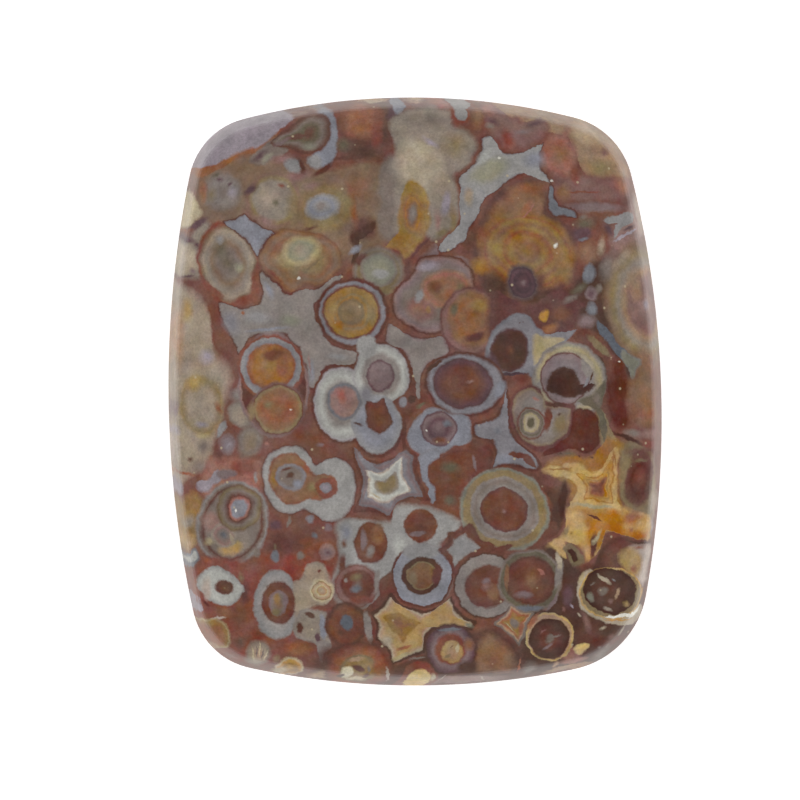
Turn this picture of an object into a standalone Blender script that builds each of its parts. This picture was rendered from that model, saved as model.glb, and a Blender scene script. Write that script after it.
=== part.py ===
"""A palm root agate cabochon: one polished stone with a cushion outline, a low dome and a flat back.

Metres, +Z up. The flat back lies on Z = 0, the dome looks up, and the stone's length runs along Y.
"""

import math

import bpy
from mathutils import Vector

MM = 0.001

# Size over the girdle, the stone's widest line.
LENGTH = 36.0 * MM
WIDTH = 30.2 * MM
THICKNESS = 5.5 * MM

# The cushion outline: a shallow arc for each side, and a rounder one for each corner.
# Each side is (arc radius, how far its apex lies from the middle of that side).
RIGHT_SIDE = (61.0 * MM, -1.7 * MM)
TOP_SIDE = (41.0 * MM, -0.2 * MM)
LEFT_SIDE = (64.0 * MM, 0.4 * MM)
BOTTOM_SIDE = (48.0 * MM, 0.0 * MM)
TOP_RIGHT_CORNER = 4.8 * MM
TOP_LEFT_CORNER = 4.5 * MM
BOTTOM_LEFT_CORNER = 4.5 * MM
BOTTOM_RIGHT_CORNER = 5.6 * MM

# The stone's section, from its flat back up to the dome.
BACK_BEVEL = 0.4 * MM
GIRDLE_TOP = 2.0 * MM
GIRDLE_TAPER = 0.5 * MM
EDGE_SOFTENING = 0.12 * MM
DOME_POWER = 3.6

OUTLINE_SEGMENTS = 120
DOME_RINGS = 15

AGATE_COLOUR = (0.22, 0.11, 0.08, 1.0)
POLISHED_ROUGHNESS = 0.12


def clear_scene():
    for found in list(bpy.data.objects):
        bpy.data.objects.remove(found, do_unlink=True)


def side_circles():
    """(centre, radius) of the four side arcs, counter-clockwise from the right."""
    half_width, half_length = WIDTH / 2, LENGTH / 2
    right, top, left, bottom = (side[0] for side in (RIGHT_SIDE, TOP_SIDE, LEFT_SIDE, BOTTOM_SIDE))
    return [
        (Vector((half_width - right, RIGHT_SIDE[1])), right),
        (Vector((TOP_SIDE[1], half_length - top)), top),
        (Vector((left - half_width, LEFT_SIDE[1])), left),
        (Vector((BOTTOM_SIDE[1], bottom - half_length)), bottom),
    ]


def corner_circle(side, next_side, radius):
    """The circle of this radius that touches two side arcs from inside, with the angles where it does."""
    (centre, reach), (next_centre, next_reach) = side, next_side
    across = next_centre - centre
    gap = across.length
    near, far = reach - radius, next_reach - radius
    along = (near**2 - far**2 + gap**2) / (2 * gap)
    aside = math.sqrt(near**2 - along**2)
    unit = across.normalized()
    feet = [centre + unit * along + Vector((-unit.y, unit.x)) * aside * sign for sign in (1, -1)]
    middle = min(feet, key=lambda point: point.length)
    starts = centre + (middle - centre).normalized() * reach
    ends = next_centre + (middle - next_centre).normalized() * next_reach
    return middle, radius, angle_of(starts), angle_of(ends)


def angle_of(point):
    return math.atan2(point.y, point.x) % math.tau


def ray_to_circle(centre, radius, angle):
    """How far a ray from the origin runs before it leaves the circle."""
    nearest = centre.x * math.cos(angle) + centre.y * math.sin(angle)
    return nearest + math.sqrt(nearest**2 - centre.length_squared + radius**2)


def outline_reach(angle, sides, corners):
    """The distance from the stone's middle to its outline in one direction."""
    angle %= math.tau
    for index, (middle, radius, starts, ends) in enumerate(corners):
        if starts <= angle <= ends:
            return ray_to_circle(middle, radius, angle)
        next_starts = corners[(index + 1) % 4][2]
        if ends < angle < next_starts:
            return ray_to_circle(*sides[(index + 1) % 4], angle)
    return ray_to_circle(*sides[0], angle)


def section_points():
    """The section as (radius, height) points, from the top of the dome down and back to the axis."""
    reach = WIDTH / 2
    dome_reach = reach - GIRDLE_TAPER
    rise = THICKNESS - GIRDLE_TOP
    points = []
    for ring in range(DOME_RINGS + 1):
        share = math.sin(math.pi / 2 * ring / DOME_RINGS) ** 0.9
        points.append((dome_reach * share, GIRDLE_TOP + rise * (1 - share**DOME_POWER)))
    # The polished edge where the dome meets the girdle is eased, not sharp.
    edge_radius, edge_height = points.pop()
    points.append((edge_radius - EDGE_SOFTENING, edge_height + EDGE_SOFTENING))
    points.append((edge_radius + 0.2 * EDGE_SOFTENING, edge_height - 0.8 * EDGE_SOFTENING))
    points.append((reach, BACK_BEVEL))
    points.append((reach - BACK_BEVEL, 0.0))
    points.append((0.0, 0.0))
    return points


def turned_blank():
    """The section turned about Z: a round blank of the stone's own section."""
    points = [(radius, 0.0, height) for radius, height in section_points()]
    profile = bpy.data.meshes.new("section")
    profile.from_pydata(points, [(i, i + 1) for i in range(len(points) - 1)], [])
    blank = bpy.data.objects.new("round_blank", profile)
    bpy.context.collection.objects.link(blank)
    turn = blank.modifiers.new("Turn", "SCREW")
    turn.steps = turn.render_steps = OUTLINE_SEGMENTS
    turn.use_merge_vertices = True
    turn.merge_threshold = 0.00001
    turn.use_smooth_shade = True
    return blank


def ground_to_outline(blank):
    """The round blank as a mesh, with every ring of it taken out to the cushion outline."""
    graph = bpy.context.evaluated_depsgraph_get()
    mesh = bpy.data.meshes.new_from_object(blank.evaluated_get(graph))
    mesh.name = "cabochon"
    sides = side_circles()
    radii = (TOP_RIGHT_CORNER, TOP_LEFT_CORNER, BOTTOM_LEFT_CORNER, BOTTOM_RIGHT_CORNER)
    corners = [
        corner_circle(sides[index], sides[(index + 1) % 4], radius)
        for index, radius in enumerate(radii)
    ]
    for vertex in mesh.vertices:
        flat = Vector((vertex.co.x, vertex.co.y))
        if flat.length > 0:
            stretch = outline_reach(angle_of(flat), sides, corners) / (WIDTH / 2)
            vertex.co.x *= stretch
            vertex.co.y *= stretch
    return mesh


def agate_material():
    material = bpy.data.materials.new("polished palm root agate")
    material.use_nodes = True
    surface = material.node_tree.nodes["Principled BSDF"]
    surface.inputs["Base Color"].default_value = AGATE_COLOUR
    surface.inputs["Roughness"].default_value = POLISHED_ROUGHNESS
    surface.inputs["Metallic"].default_value = 0.0
    return material


def main():
    clear_scene()
    collection = bpy.data.collections.new("palm_root_agate_cabochon")
    bpy.context.scene.collection.children.link(collection)
    blank = turned_blank()
    mesh = ground_to_outline(blank)
    bpy.data.objects.remove(blank, do_unlink=True)
    mesh.materials.append(agate_material())
    mesh.shade_smooth()
    mesh.set_sharp_from_angle(angle=math.radians(30))
    collection.objects.link(bpy.data.objects.new("cabochon", mesh))


main()
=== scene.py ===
"""The palm root agate cabochon in its light tent: the polished stone, the roots in it, and the stage.

Metres, +Z up, in the frame's own axes. Run it as a script, or read it as an add-on.
"""

import math

import bpy
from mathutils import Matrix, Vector

from bpy.props import FloatProperty, FloatVectorProperty, IntProperty, PointerProperty


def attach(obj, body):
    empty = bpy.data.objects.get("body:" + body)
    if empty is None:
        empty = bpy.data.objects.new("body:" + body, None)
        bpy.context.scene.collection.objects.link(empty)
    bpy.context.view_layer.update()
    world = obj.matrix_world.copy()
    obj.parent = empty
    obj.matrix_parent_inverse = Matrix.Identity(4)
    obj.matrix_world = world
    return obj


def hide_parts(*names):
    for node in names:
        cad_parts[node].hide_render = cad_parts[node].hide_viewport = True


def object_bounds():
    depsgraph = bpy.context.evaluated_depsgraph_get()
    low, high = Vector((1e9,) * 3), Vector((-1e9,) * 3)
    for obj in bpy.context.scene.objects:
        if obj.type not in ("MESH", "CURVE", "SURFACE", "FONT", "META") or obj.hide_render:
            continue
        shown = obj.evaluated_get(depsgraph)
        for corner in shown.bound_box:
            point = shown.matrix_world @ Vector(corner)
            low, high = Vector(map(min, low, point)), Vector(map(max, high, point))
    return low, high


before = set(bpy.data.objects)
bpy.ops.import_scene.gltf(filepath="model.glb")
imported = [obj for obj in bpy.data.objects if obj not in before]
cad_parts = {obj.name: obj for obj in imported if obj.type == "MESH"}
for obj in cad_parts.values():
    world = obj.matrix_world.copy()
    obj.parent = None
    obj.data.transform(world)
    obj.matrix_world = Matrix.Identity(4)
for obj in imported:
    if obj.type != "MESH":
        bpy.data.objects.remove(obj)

CAD_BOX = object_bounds()
CAD_SIZE = [high - low for low, high in zip(*CAD_BOX)]

bl_info = {
    "name": "Palm Root Agate Cabochon",
    "version": (1, 0, 0),
    "blender": (4, 5, 0),
    "location": "3D View > Sidebar > Agate",
    "description": "Grinds a cushion cabochon and paints the petrified roots that its polish opens",
    "category": "Add Mesh",
}

MM = 0.001
# A mix node's colour sockets share their names with its other kinds, so they go by number.
MIX_BELOW, MIX_ABOVE, MIX_COLOUR = 6, 7, 2

# Directions in which a void's wall is measured, and how many marks one node group holds.
WALL_DIRECTIONS = 96
MARKS_IN_A_GROUP = 5
VOID_KINDS = ("void", "star")
# The widest share of a mark's reach that its soft edge may take.
WIDEST_FADE = 0.9
# Above this height the pattern is the one the camera sees. Below it the roots lean this way, and wander
# more by this share of the drop.
PATTERN_FLOOR = 2.0 * MM
LEAN_WAY = (1.0, -0.6)
DEEP_WANDER = 0.6
# The stone is dressed in patches, and each one's material carries only the marks that come near it, because a
# material with all of them renders slowly. The marks' lean and wander stay under this margin, in mm.
PATCHES = (3, 4)
PATCH_MARGIN = 1.6

NODE = "cabochon"
BODY = "root"

# The cushion outline: each side is (arc radius, how far its apex lies from that side's middle), in mm.
SIDES = {"right": (61.0, -1.7), "top": (41.0, -0.2), "left": (64.0, 0.4), "bottom": (48.0, 0.0)}
# The corners' radii in mm, counter-clockwise from the top right one.
CORNERS = (4.8, 4.5, 4.5, 5.6)
# The dome's rings crowd towards the girdle by this power. The two corners of the back's bevel are eased by
# these shares of the edge easing, and the back's own rings lie at these shares of its reach.
RING_CROWDING = 0.9
HIP_EASING, HEEL_EASING = 0.5, 0.4
BACK_RINGS = (0.985, 0.9, 0.5, 0.0)

# How often the stone's unevenness comes in a millimetre, and how far clouds swing its hue and its saturation.
WANDERS_IN_A_MM = 0.8
CLOUDS_IN_A_MM = 0.9
GRAINS_IN_A_MM = 6.0
SPECK_CELLS_IN_A_MM = 0.75
HUE_SWING, SATURATION_SWING = 0.08, 0.8
# The heights between which the edge's painted glow fades, and between which lapping gives way to polish.
PAINTED_GLOW_HEIGHTS = (1.2 * MM, 2.4 * MM)
POLISHED_EDGE = (1.7 * MM, 2.1 * MM)

SHEET_RADIUS = 0.6
SHEET_GAP = 0.05 * MM

# Hex colours of the stone, as the eye sees them in even light.
PALETTE = {
    "line": "5f3d35",
    "jasper": "754e43",
    "brick": "7f4c3e",
    "rust": "8a5a40",
    "terracotta": "945f47",
    "clay": "98685a",
    "liver": "66493f",
    "russet": "5d4036",
    "umber": "533a31",
    "dark umber": "472b23",
    "maroon": "63413d",
    "plum": "5f464a",
    "dark plum": "4f3c40",
    "mauve": "7d6a6a",
    "dusk rose": "7f5f59",
    "rose": "8d6f68",
    "lilac": "938990",
    "pale lilac": "9d929a",
    "blue grey": "84848c",
    "pewter": "7f7b7f",
    "slate": "717278",
    "deep slate": "5b5f67",
    "mist": "8b8887",
    "pale grey": "969390",
    "dove": "857c77",
    "taupe": "7b6e66",
    "stone": "8d8175",
    "bone": "af9f93",
    "beige": "9c8c7a",
    "cream beige": "aa9c88",
    "tan": "a7886f",
    "sand": "b39a7c",
    "honey": "a88b5e",
    "straw": "a49573",
    "ochre": "8f7044",
    "mustard": "957847",
    "amber": "9a6c38",
    "bronze": "85624a",
    "olive": "877456",
    "moss": "796950",
    "dark moss": "655c4c",
    "grey green": "7c7a6c",
    "sage": "8e8a76",
    "cream": "b9aa8c",
    "pale cream": "cdc4a8",
    "white": "dad7cc",
    "milk": "a9a8a2",
    "smoke": "6b6c71",
    "bole": "6a453b",
    "cocoa": "704838",
    "wine": "5c2e23",
    "flame": "a56c2a",
    "gold": "b1884f",
    "pale gold": "ba9963",
    "primrose": "cfb578",
    "fawn": "7f6856",
    "fallow": "9a7d64",
    "chalk": "c0beb4",
    "saddle": "75553d",
}

# The marks of the pattern in mm, oldest first, because each lies over the ones before it.
# (rings, blur, x, y, half width, half height, turn) is an eye: a root cut across, or any oval. Its rings
# run from the middle (0) to the rim (1), and one colour stands for all of them. Without a turn it is
# upright. ("void", bands, blur, outline, grown by) is a space between roots with a smooth wall. Its bands
# run inwards from the wall by depth. A "star" is a void with sharp points.
TOP_LEFT = (
    ("void", "fawn", 0.8, ((-13.5, 13.2), (-10, 14.8), (-5, 13.8), (-1.2, 13.8), (-0.8, 9.8), (-4.5, 7.6),
     (-9, 9.5), (-13, 10.2))),
    ("liver", 0.5, -3.1, 9.9, 1, 0.9),
    ("dusk rose", 0.6, -9.9, 10.8, 0.9, 0.7),
    ("bronze", 0.6, -3.4, 12.4, 1, 1.2),
    ("rust", 0.4, -3.8, 11.2, 0.3, 1.4, 10),
    ("dusk rose", 0.5, -7.1, 13.1, 1.2, 0.5, 20),
    ("void", "taupe", 0.5, ((-2.1, 14.1), (-1, 14.3), (-0.9, 11), (-1.2, 9.2), (-2.2, 9.3), (-2.4, 11.5))),
    ("void", "stone", 0.4, ((-14.6, 6.9), (-14.9, 9.5), (-13.9, 9.5), (-12.7, 10.6), (-12.2, 9.5),
     (-12.6, 7))),
    ("void", "beige", 0.5, ((-13.4, 16.6), (-9, 18), (-8.4, 16.8), (-12, 15.2), (-14.4, 13.6))),
    ("void", "beige", 0.5, ((-9.6, 18), (-4.6, 18.3), (-4.8, 17.4), (-6.4, 17), (-9.4, 16.4))),
    ("void", "rose", 0.3, ((-13, 15.4), (-10, 16.9), (-8.8, 17.1), (-9.2, 16.8), (-12.3, 15.5))),
    ("void", "rust", 0.35, ((-14, 13.5), (-11.4, 14.5), (-9, 15.6), (-8, 16.4), (-8.6, 15), (-11, 13.9),
     (-13.4, 12.9))),
    ("void", {0: "pale lilac", 0.3: "lilac", 0.8: "lilac"}, 0.25, ((-13.9, 13.5), (-13.9, 14.6),
     (-13.1, 15.4), (-11.5, 16.1), (-9.5, 16.8), (-7.2, 16.9), (-8, 16.1), (-9, 15.2), (-10, 14.7),
     (-11.5, 14.1), (-12.8, 13.6))),
    ("blue grey", 0.2, -5.55, 15.45, 0.95, 1.95),
    ("mist", 0.2, -6.1, 14, 0.5, 0.5),
    ("mist", 0.3, -5.1, 17.6, 0.5, 0.3),
    ("void", {0: "line", 0.2: "taupe"}, 0.2, ((-10.2, 14), (-9.6, 14.8), (-8.6, 15.4), (-7.6, 14.8),
     (-8.8, 13.9), (-9.6, 13.7))),
    ("plum", 0.5, -9.5, 14.3, 0.75, 0.3, 40),
    ("sage", 0.4, -9, 14.2, 0.6, 0.25, 35),
    ("void", {0: "line", 0.25: "liver", 0.6: "taupe", 0.9: "dark moss", 1.3: "liver"}, 0.15, ((-5.05, 16),
     (-5.4, 16.8), (-6.3, 17.1), (-7.3, 16.6), (-8.3, 15.7), (-9, 15), (-7.8, 14.7), (-6.7, 14.3),
     (-5.7, 14.6), (-5.2, 15.2))),
    ("mauve", 0.4, -8.1, 15.15, 0.8, 0.18, 25),
    ("grey green", 0.6, -6.4, 14.95, 0.6, 0.35, 10),
    ("rose", 0.4, -8.1, 14.15, 0.8, 0.35, 15),
    ({0: "mist", 0.6: "mist", 1: "mauve"}, 0.2, -7.4, 13.75, 0.75, 0.5, -20),
    ("line", 0.2, -6.85, 13.7, 0.2, 0.6, 20),
    ("line", 0.25, -5.6, 13.55, 1, 0.25, 35),
    ("line", 0.25, -3.9, 14.2, 1.3, 0.2, 4),
    ({0: "taupe", 0.5: "dove", 0.8: "taupe", 1: "beige"}, 0.3, -11.7, 12.15, 1.35, 1.3),
    ("rust", 0.4, -12.9, 12.3, 0.35, 1, 5),
    ("moss", 0.5, -12.4, 12, 0.4, 0.6),
    ("lilac", 0.5, -11.1, 12.1, 0.4, 0.5),
    ("plum", 0.25, -11.9, 12.85, 0.3, 0.2, 10),
    ("plum", 0.2, -11.3, 12.65, 0.25, 0.15, 30),
    ("dark moss", 0.3, -12.1, 13.15, 0.35, 0.15, 30),
    ("rose", 0.5, -13.7, 12.8, 0.5, 0.5),
    ("void", "cream", 0.3, ((-14.6, 12.1), (-13.6, 12.2), (-13.1, 11.5), (-12.8, 10.9), (-13.3, 10.3),
     (-13.8, 9.8), (-14.9, 9.8))),
    ("plum", 0.25, -13.2, 10.2, 0.8, 0.32, 38),
    ("rust", 0.3, -13.9, 9.7, 0.5, 0.15, 10),
    ("plum", 0.3, -13.9, 9.25, 0.7, 0.25, -5),
    ("void", {0: "stone", 0.3: "cream beige"}, 0.3, ((-15, 9), (-14.2, 9), (-13.4, 8.8), (-13, 8.2),
     (-13.1, 7.5), (-13.6, 7.1), (-14.9, 7))),
    ("plum", 0.2, -13.3, 9, 0.25, 0.2),
    ("mauve", 0.25, -13.5, 7.35, 0.3, 0.25),
    ("plum", 0.3, -13.9, 6.95, 0.7, 0.12, 10),
    ({0: "dark moss", 0.3: "taupe", 0.45: "fawn", 0.62: "stone", 0.74: "beige", 0.82: "fawn", 0.9: "brick",
     1: "brick"}, 0.2, -11.35, 7.75, 1.95, 2.75, 14),
    ("dark moss", 0.6, -11.8, 8.7, 0.6, 0.7, 14),
    ("mist", 0.5, -11.9, 9.2, 0.3, 0.3),
    ("sage", 0.5, -10.7, 7.5, 0.4, 0.4),
    ("brick", 0.35, -10.3, 5.5, 1.1, 0.35, 8),
    ("brick", 0.35, -9.75, 6.5, 0.3, 1.2, -4),
    ("brick", 0.3, -12.3, 6.2, 0.9, 0.28, -38),
    ({0: "stone", 0.6: "stone", 0.75: "olive", 0.9: "dusk rose", 1: "maroon"}, 0.25, -8.6, 11.6, 1.75, 1.9),
    ({0: "beige", 0.7: "stone", 1: "taupe"}, 0.3, -8.9, 11.75, 1.15, 1.05),
    ("dark moss", 0.25, -8.5, 11.45, 0.28, 0.3),
    ("brick", 0.25, -8.1, 12.5, 0.35, 0.18, -35),
    ("plum", 0.3, -10, 12.25, 0.65, 0.28, 42),
    ("olive", 0.7, -7.4, 11.1, 0.6, 1.2),
    ("rose", 0.5, -9, 10.3, 1, 0.4, -25),
    ({0: "olive", 0.7: "olive", 0.85: "ochre", 1: "fawn"}, 0.5, -5.5, 11.2, 1.9, 1.7),
    ("rose", 0.5, -6.2, 12.5, 0.8, 0.35, 15),
    ({0: "dove", 0.2: "dove", 0.35: "mist", 0.6: "blue grey", 0.75: "mist", 1: "stone"}, 0.2, -5.65, 11.2,
     1.2, 0.9, 12),
    ("liver", 0.25, -6.4, 9.95, 0.7, 0.16, 12),
    ("void", {0: "line", 0.25: "bronze", 0.5: "fawn", 0.8: "bronze", 1.3: "olive"}, 0.15, ((-9.65, 8.15),
     (-9.2, 9.1), (-8.6, 9.7), (-7.5, 10), (-5.6, 9.6), (-4.6, 8.8), (-4.4, 7.6), (-5, 6.8), (-5.8, 6.4),
     (-6.7, 6.3), (-7.4, 5.9), (-8, 6.15), (-8.6, 6.85), (-9.3, 7.4))),
    ({0: "beige", 0.5: "sage", 0.75: "straw", 0.88: "olive", 1: "fawn"}, 0.3, -6.95, 8.55, 1.35, 1, 15),
    ("moss", 0.2, -6.2, 7.65, 1, 0.12, 38),
    ("brick", 0.3, -8.6, 7.1, 0.9, 0.12, -42),
    ("white", 0.08, -7.1, 6.87, 0.13, 0.13),
)

UPPER_VOID = (
    (4.4, 15.6), (4, 15.35), (3.95, 14.6), (3.8, 14.1), (3.3, 13.6), (2.7, 13.05), (2.65, 12.7),
    (2.85, 12.2), (3.2, 11.6), (4.1, 11.7), (5, 12.3), (5.8, 12.9), (6.6, 13.25), (7.2, 13.2), (7.7, 12.85),
    (8.2, 12.5), (8, 13), (7.65, 13.5), (7.5, 14), (7.6, 14.6), (7.95, 15.1), (7.5, 15), (6.8, 14.65),
    (6, 14.45), (5.3, 14.6), (4.9, 15), (4.7, 15.4),
)
UPPER_VOID_ARM = (
    (2.8, 12.4), (2.95, 11.4), (2.75, 10.5), (2.45, 9.8), (1.9, 9.35), (1.4, 8.75), (1.5, 8.42), (2, 8.5),
    (2.6, 8.85), (3.1, 9.1), (3.2, 9.7), (3.7, 10.6), (4.1, 11.5), (4.3, 12.2),
)

TOP_MIDDLE = (
    ("void", "liver", 0.7, ((-4.8, 15.2), (-4.5, 17.2), (-2, 18.2), (-0.6, 17.5), (-1, 16.2), (-1.4, 14.6),
     (-2.5, 13.8), (-4.4, 14))),
    ({0: "terracotta", 0.5: "terracotta", 1: "brick"}, 0.7, -3.2, 16.5, 1.5, 1.3),
    ("brick", 0.5, -2.3, 16.1, 0.5, 1.5),
    ("sand", 0.4, -2.4, 17.75, 2.2, 0.3, 2),
    ("umber", 0.6, -3.1, 14.6, 1.1, 0.6),
    ("dark moss", 0.6, -4.3, 15, 0.6, 0.6),
    ("plum", 0.3, -1.2, 17, 0.65, 0.8, -20),
    ({0: "blue grey", 0.8: "blue grey", 1: "mist"}, 0.12, -0.97, 17.4, 0.4, 0.52, -20),
    ("void", {0: "taupe", 0.5: "stone"}, 0.35, ((-1.4, 16.9), (0, 17.5), (2, 17.3), (2.3, 16.4), (3.2, 16),
     (3.8, 15.4), (3.8, 14.8), (3.5, 14), (2.7, 13.3), (2.5, 12.8), (2.7, 12.2), (2.8, 11.2), (2.6, 10.2),
     (1.9, 9.5), (1, 9), (0, 9.8), (-1.5, 9.4), (-2, 10.5), (-2, 12.5), (-1.9, 13.4), (-1.4, 14.2),
     (-1.4, 15.3), (-1.7, 16.2))),
    ("sand", 0.4, 0.3, 17.75, 1, 0.25),
    ("clay", 0.4, 1.7, 17.6, 0.9, 0.35, -4),
    ("cream beige", 0.8, 0.3, 13.9, 1.7, 2),
    ("olive", 0.9, 2.5, 15, 1.2, 0.9),
    ("taupe", 0.8, 1, 16.5, 1.5, 0.6),
    ("cream beige", 0.5, 0.9, 14.3, 0.9, 0.5),
    ("pale lilac", 0.4, 0.95, 15.15, 0.75, 0.28, -28),
    ("beige", 0.6, 1.5, 12.6, 0.8, 0.9),
    ("lilac", 0.3, 1.85, 11.4, 0.35, 0.9, -8),
    ("olive", 0.4, 2.3, 10.5, 0.3, 1),
    ("rose", 0.5, 1.4, 10.4, 0.3, 0.8),
    ("moss", 0.3, 1.6, 9.6, 0.6, 0.35, 35),
    ("taupe", 0.5, -1.6, 11.2, 0.5, 2.4),
    ("void", {0: "mustard", 0.5: "ochre"}, 0.25, ((-0.2, 13), (0.5, 12.6), (0.9, 11.6), (1.05, 10.6),
     (0.85, 9.8), (0.4, 9), (-0.1, 8.4), (-0.6, 8), (-1, 8.5), (-1.8, 8.65), (-1.8, 8.85), (-1.2, 9.1),
     (-1.1, 9.8), (-1.2, 10.6), (-0.9, 11.6), (-0.7, 12.5))),
    ({0: "dove", 0.3: "taupe", 0.5: "bronze", 0.7: "amber", 0.85: "bronze", 1: "mustard"}, 0.2, -0.15, 10.8,
     0.65, 1.4),
    ("amber", 0.4, 0.35, 10.9, 0.3, 0.7),
    ("moss", 0.35, -0.95, 7.6, 0.25, 0.9, -10),
    ("bronze", 0.4, -1.2, 6.4, 0.9, 0.4, 15),
    ("maroon", 0.4, -0.45, 7.4, 0.35, 1, -8),
    ("maroon", 0.2, 0.3, 8.7, 1.1, 0.14, 48),
    ("void", "mauve", 0.4, ((-0.1, 7.7), (0.6, 8.5), (1.3, 9.1), (1.2, 8.4), (2, 8.3), (3.2, 8.1),
     (3.6, 7.2), (2.6, 7.4), (1.2, 7.3), (0.1, 7))),
    ("lilac", 0.4, 0.35, 7.65, 0.4, 0.3, 30),
    ("void", "brick", 0.15, ((2.1, 18.2), (2.1, 17.2), (2.2, 16.6), (2.6, 16.2), (3.1, 16.2), (3.4, 16.7),
     (3.3, 17.1), (3.8, 17.4), (4.2, 18.1))),
    ("void", {0: "mist", 0.3: "pale grey"}, 0.12, ((2.25, 18.2), (2.25, 17.3), (2.35, 16.8), (2.65, 16.4),
     (3, 16.4), (3.2, 16.75), (3.1, 17.1), (3.5, 17.4), (4, 18.2))),
)

UPPER_ROOT = (
    ("void", {0: "maroon", 0.5: "liver", 1: "bronze"}, 0.3, ((3.3, 9.4), (3.7, 10.4), (4.3, 11.6),
     (4.9, 12.2), (5.8, 12.8), (6.8, 13.2), (7.6, 12.9), (8.2, 12.3), (8.2, 11.2), (8.9, 10.5), (9.8, 9.8),
     (10, 8.5), (9.8, 7.2), (9.2, 6.3), (8.2, 5.7), (7, 5.2), (5.3, 5), (4.3, 5.6), (3.7, 6.8), (3.4, 8),
     (3.2, 8.8))),
    ({0: "ochre", 0.2: "bronze", 0.34: "ochre", 0.46: "rust", 0.54: "ochre", 0.64: "bronze", 0.74: "ochre",
     0.82: "rust", 0.9: "ochre", 1: "bronze"}, 0.4, 6.8, 8.5, 3.2, 2.5, -15),
    ("mustard", 0.5, 5, 8.7, 0.6, 0.7),
    ("ochre", 0.5, 9, 7.8, 0.6, 1.5, 10),
    ("rust", 0.6, 6.8, 12.3, 1.5, 0.5, 5),
    ("bronze", 0.6, 6, 11.2, 1.6, 0.7, 20),
    ("terracotta", 0.3, 6.8, 11.2, 0.7, 0.25, 55),
    ("clay", 0.1, 6.9, 10.95, 0.8, 0.07, 52),
    ("brick", 0.5, 4.1, 9.6, 0.6, 0.6),
    ("amber", 0.5, 4.1, 7.6, 0.8, 0.7),
    ("umber", 0.7, 4.9, 6.2, 1.1, 1.3),
    ("umber", 0.7, 8.2, 5.6, 2.2, 0.9),
    ("liver", 0.5, 7.6, 6.6, 0.5, 0.9),
    ({0: "mauve", 0.2: "plum", 0.45: "dark plum", 0.6: "plum", 0.75: "dark plum", 0.88: "taupe", 1: "moss"},
     0.25, 6.5, 6.6, 1.1, 1.25),
    ("white", 0.12, 8.52, 8.92, 0.2, 0.16, 30),
    ("liver", 0.4, 3.3, 9, 0.5, 0.9, -20),
)

SLATE_PIECES = (
    ((8.1, 12.5), (8.4, 12.4), (8.5, 11.7), (8.7, 11.2), (8.4, 10.9), (8.15, 11.1), (8.1, 11.8)),
    ((8.3, 11.4), (8.9, 11.2), (9.6, 11.05), (9.9, 10.6), (9.2, 10.6), (8.5, 10.65), (8.2, 11)),
)

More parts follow.
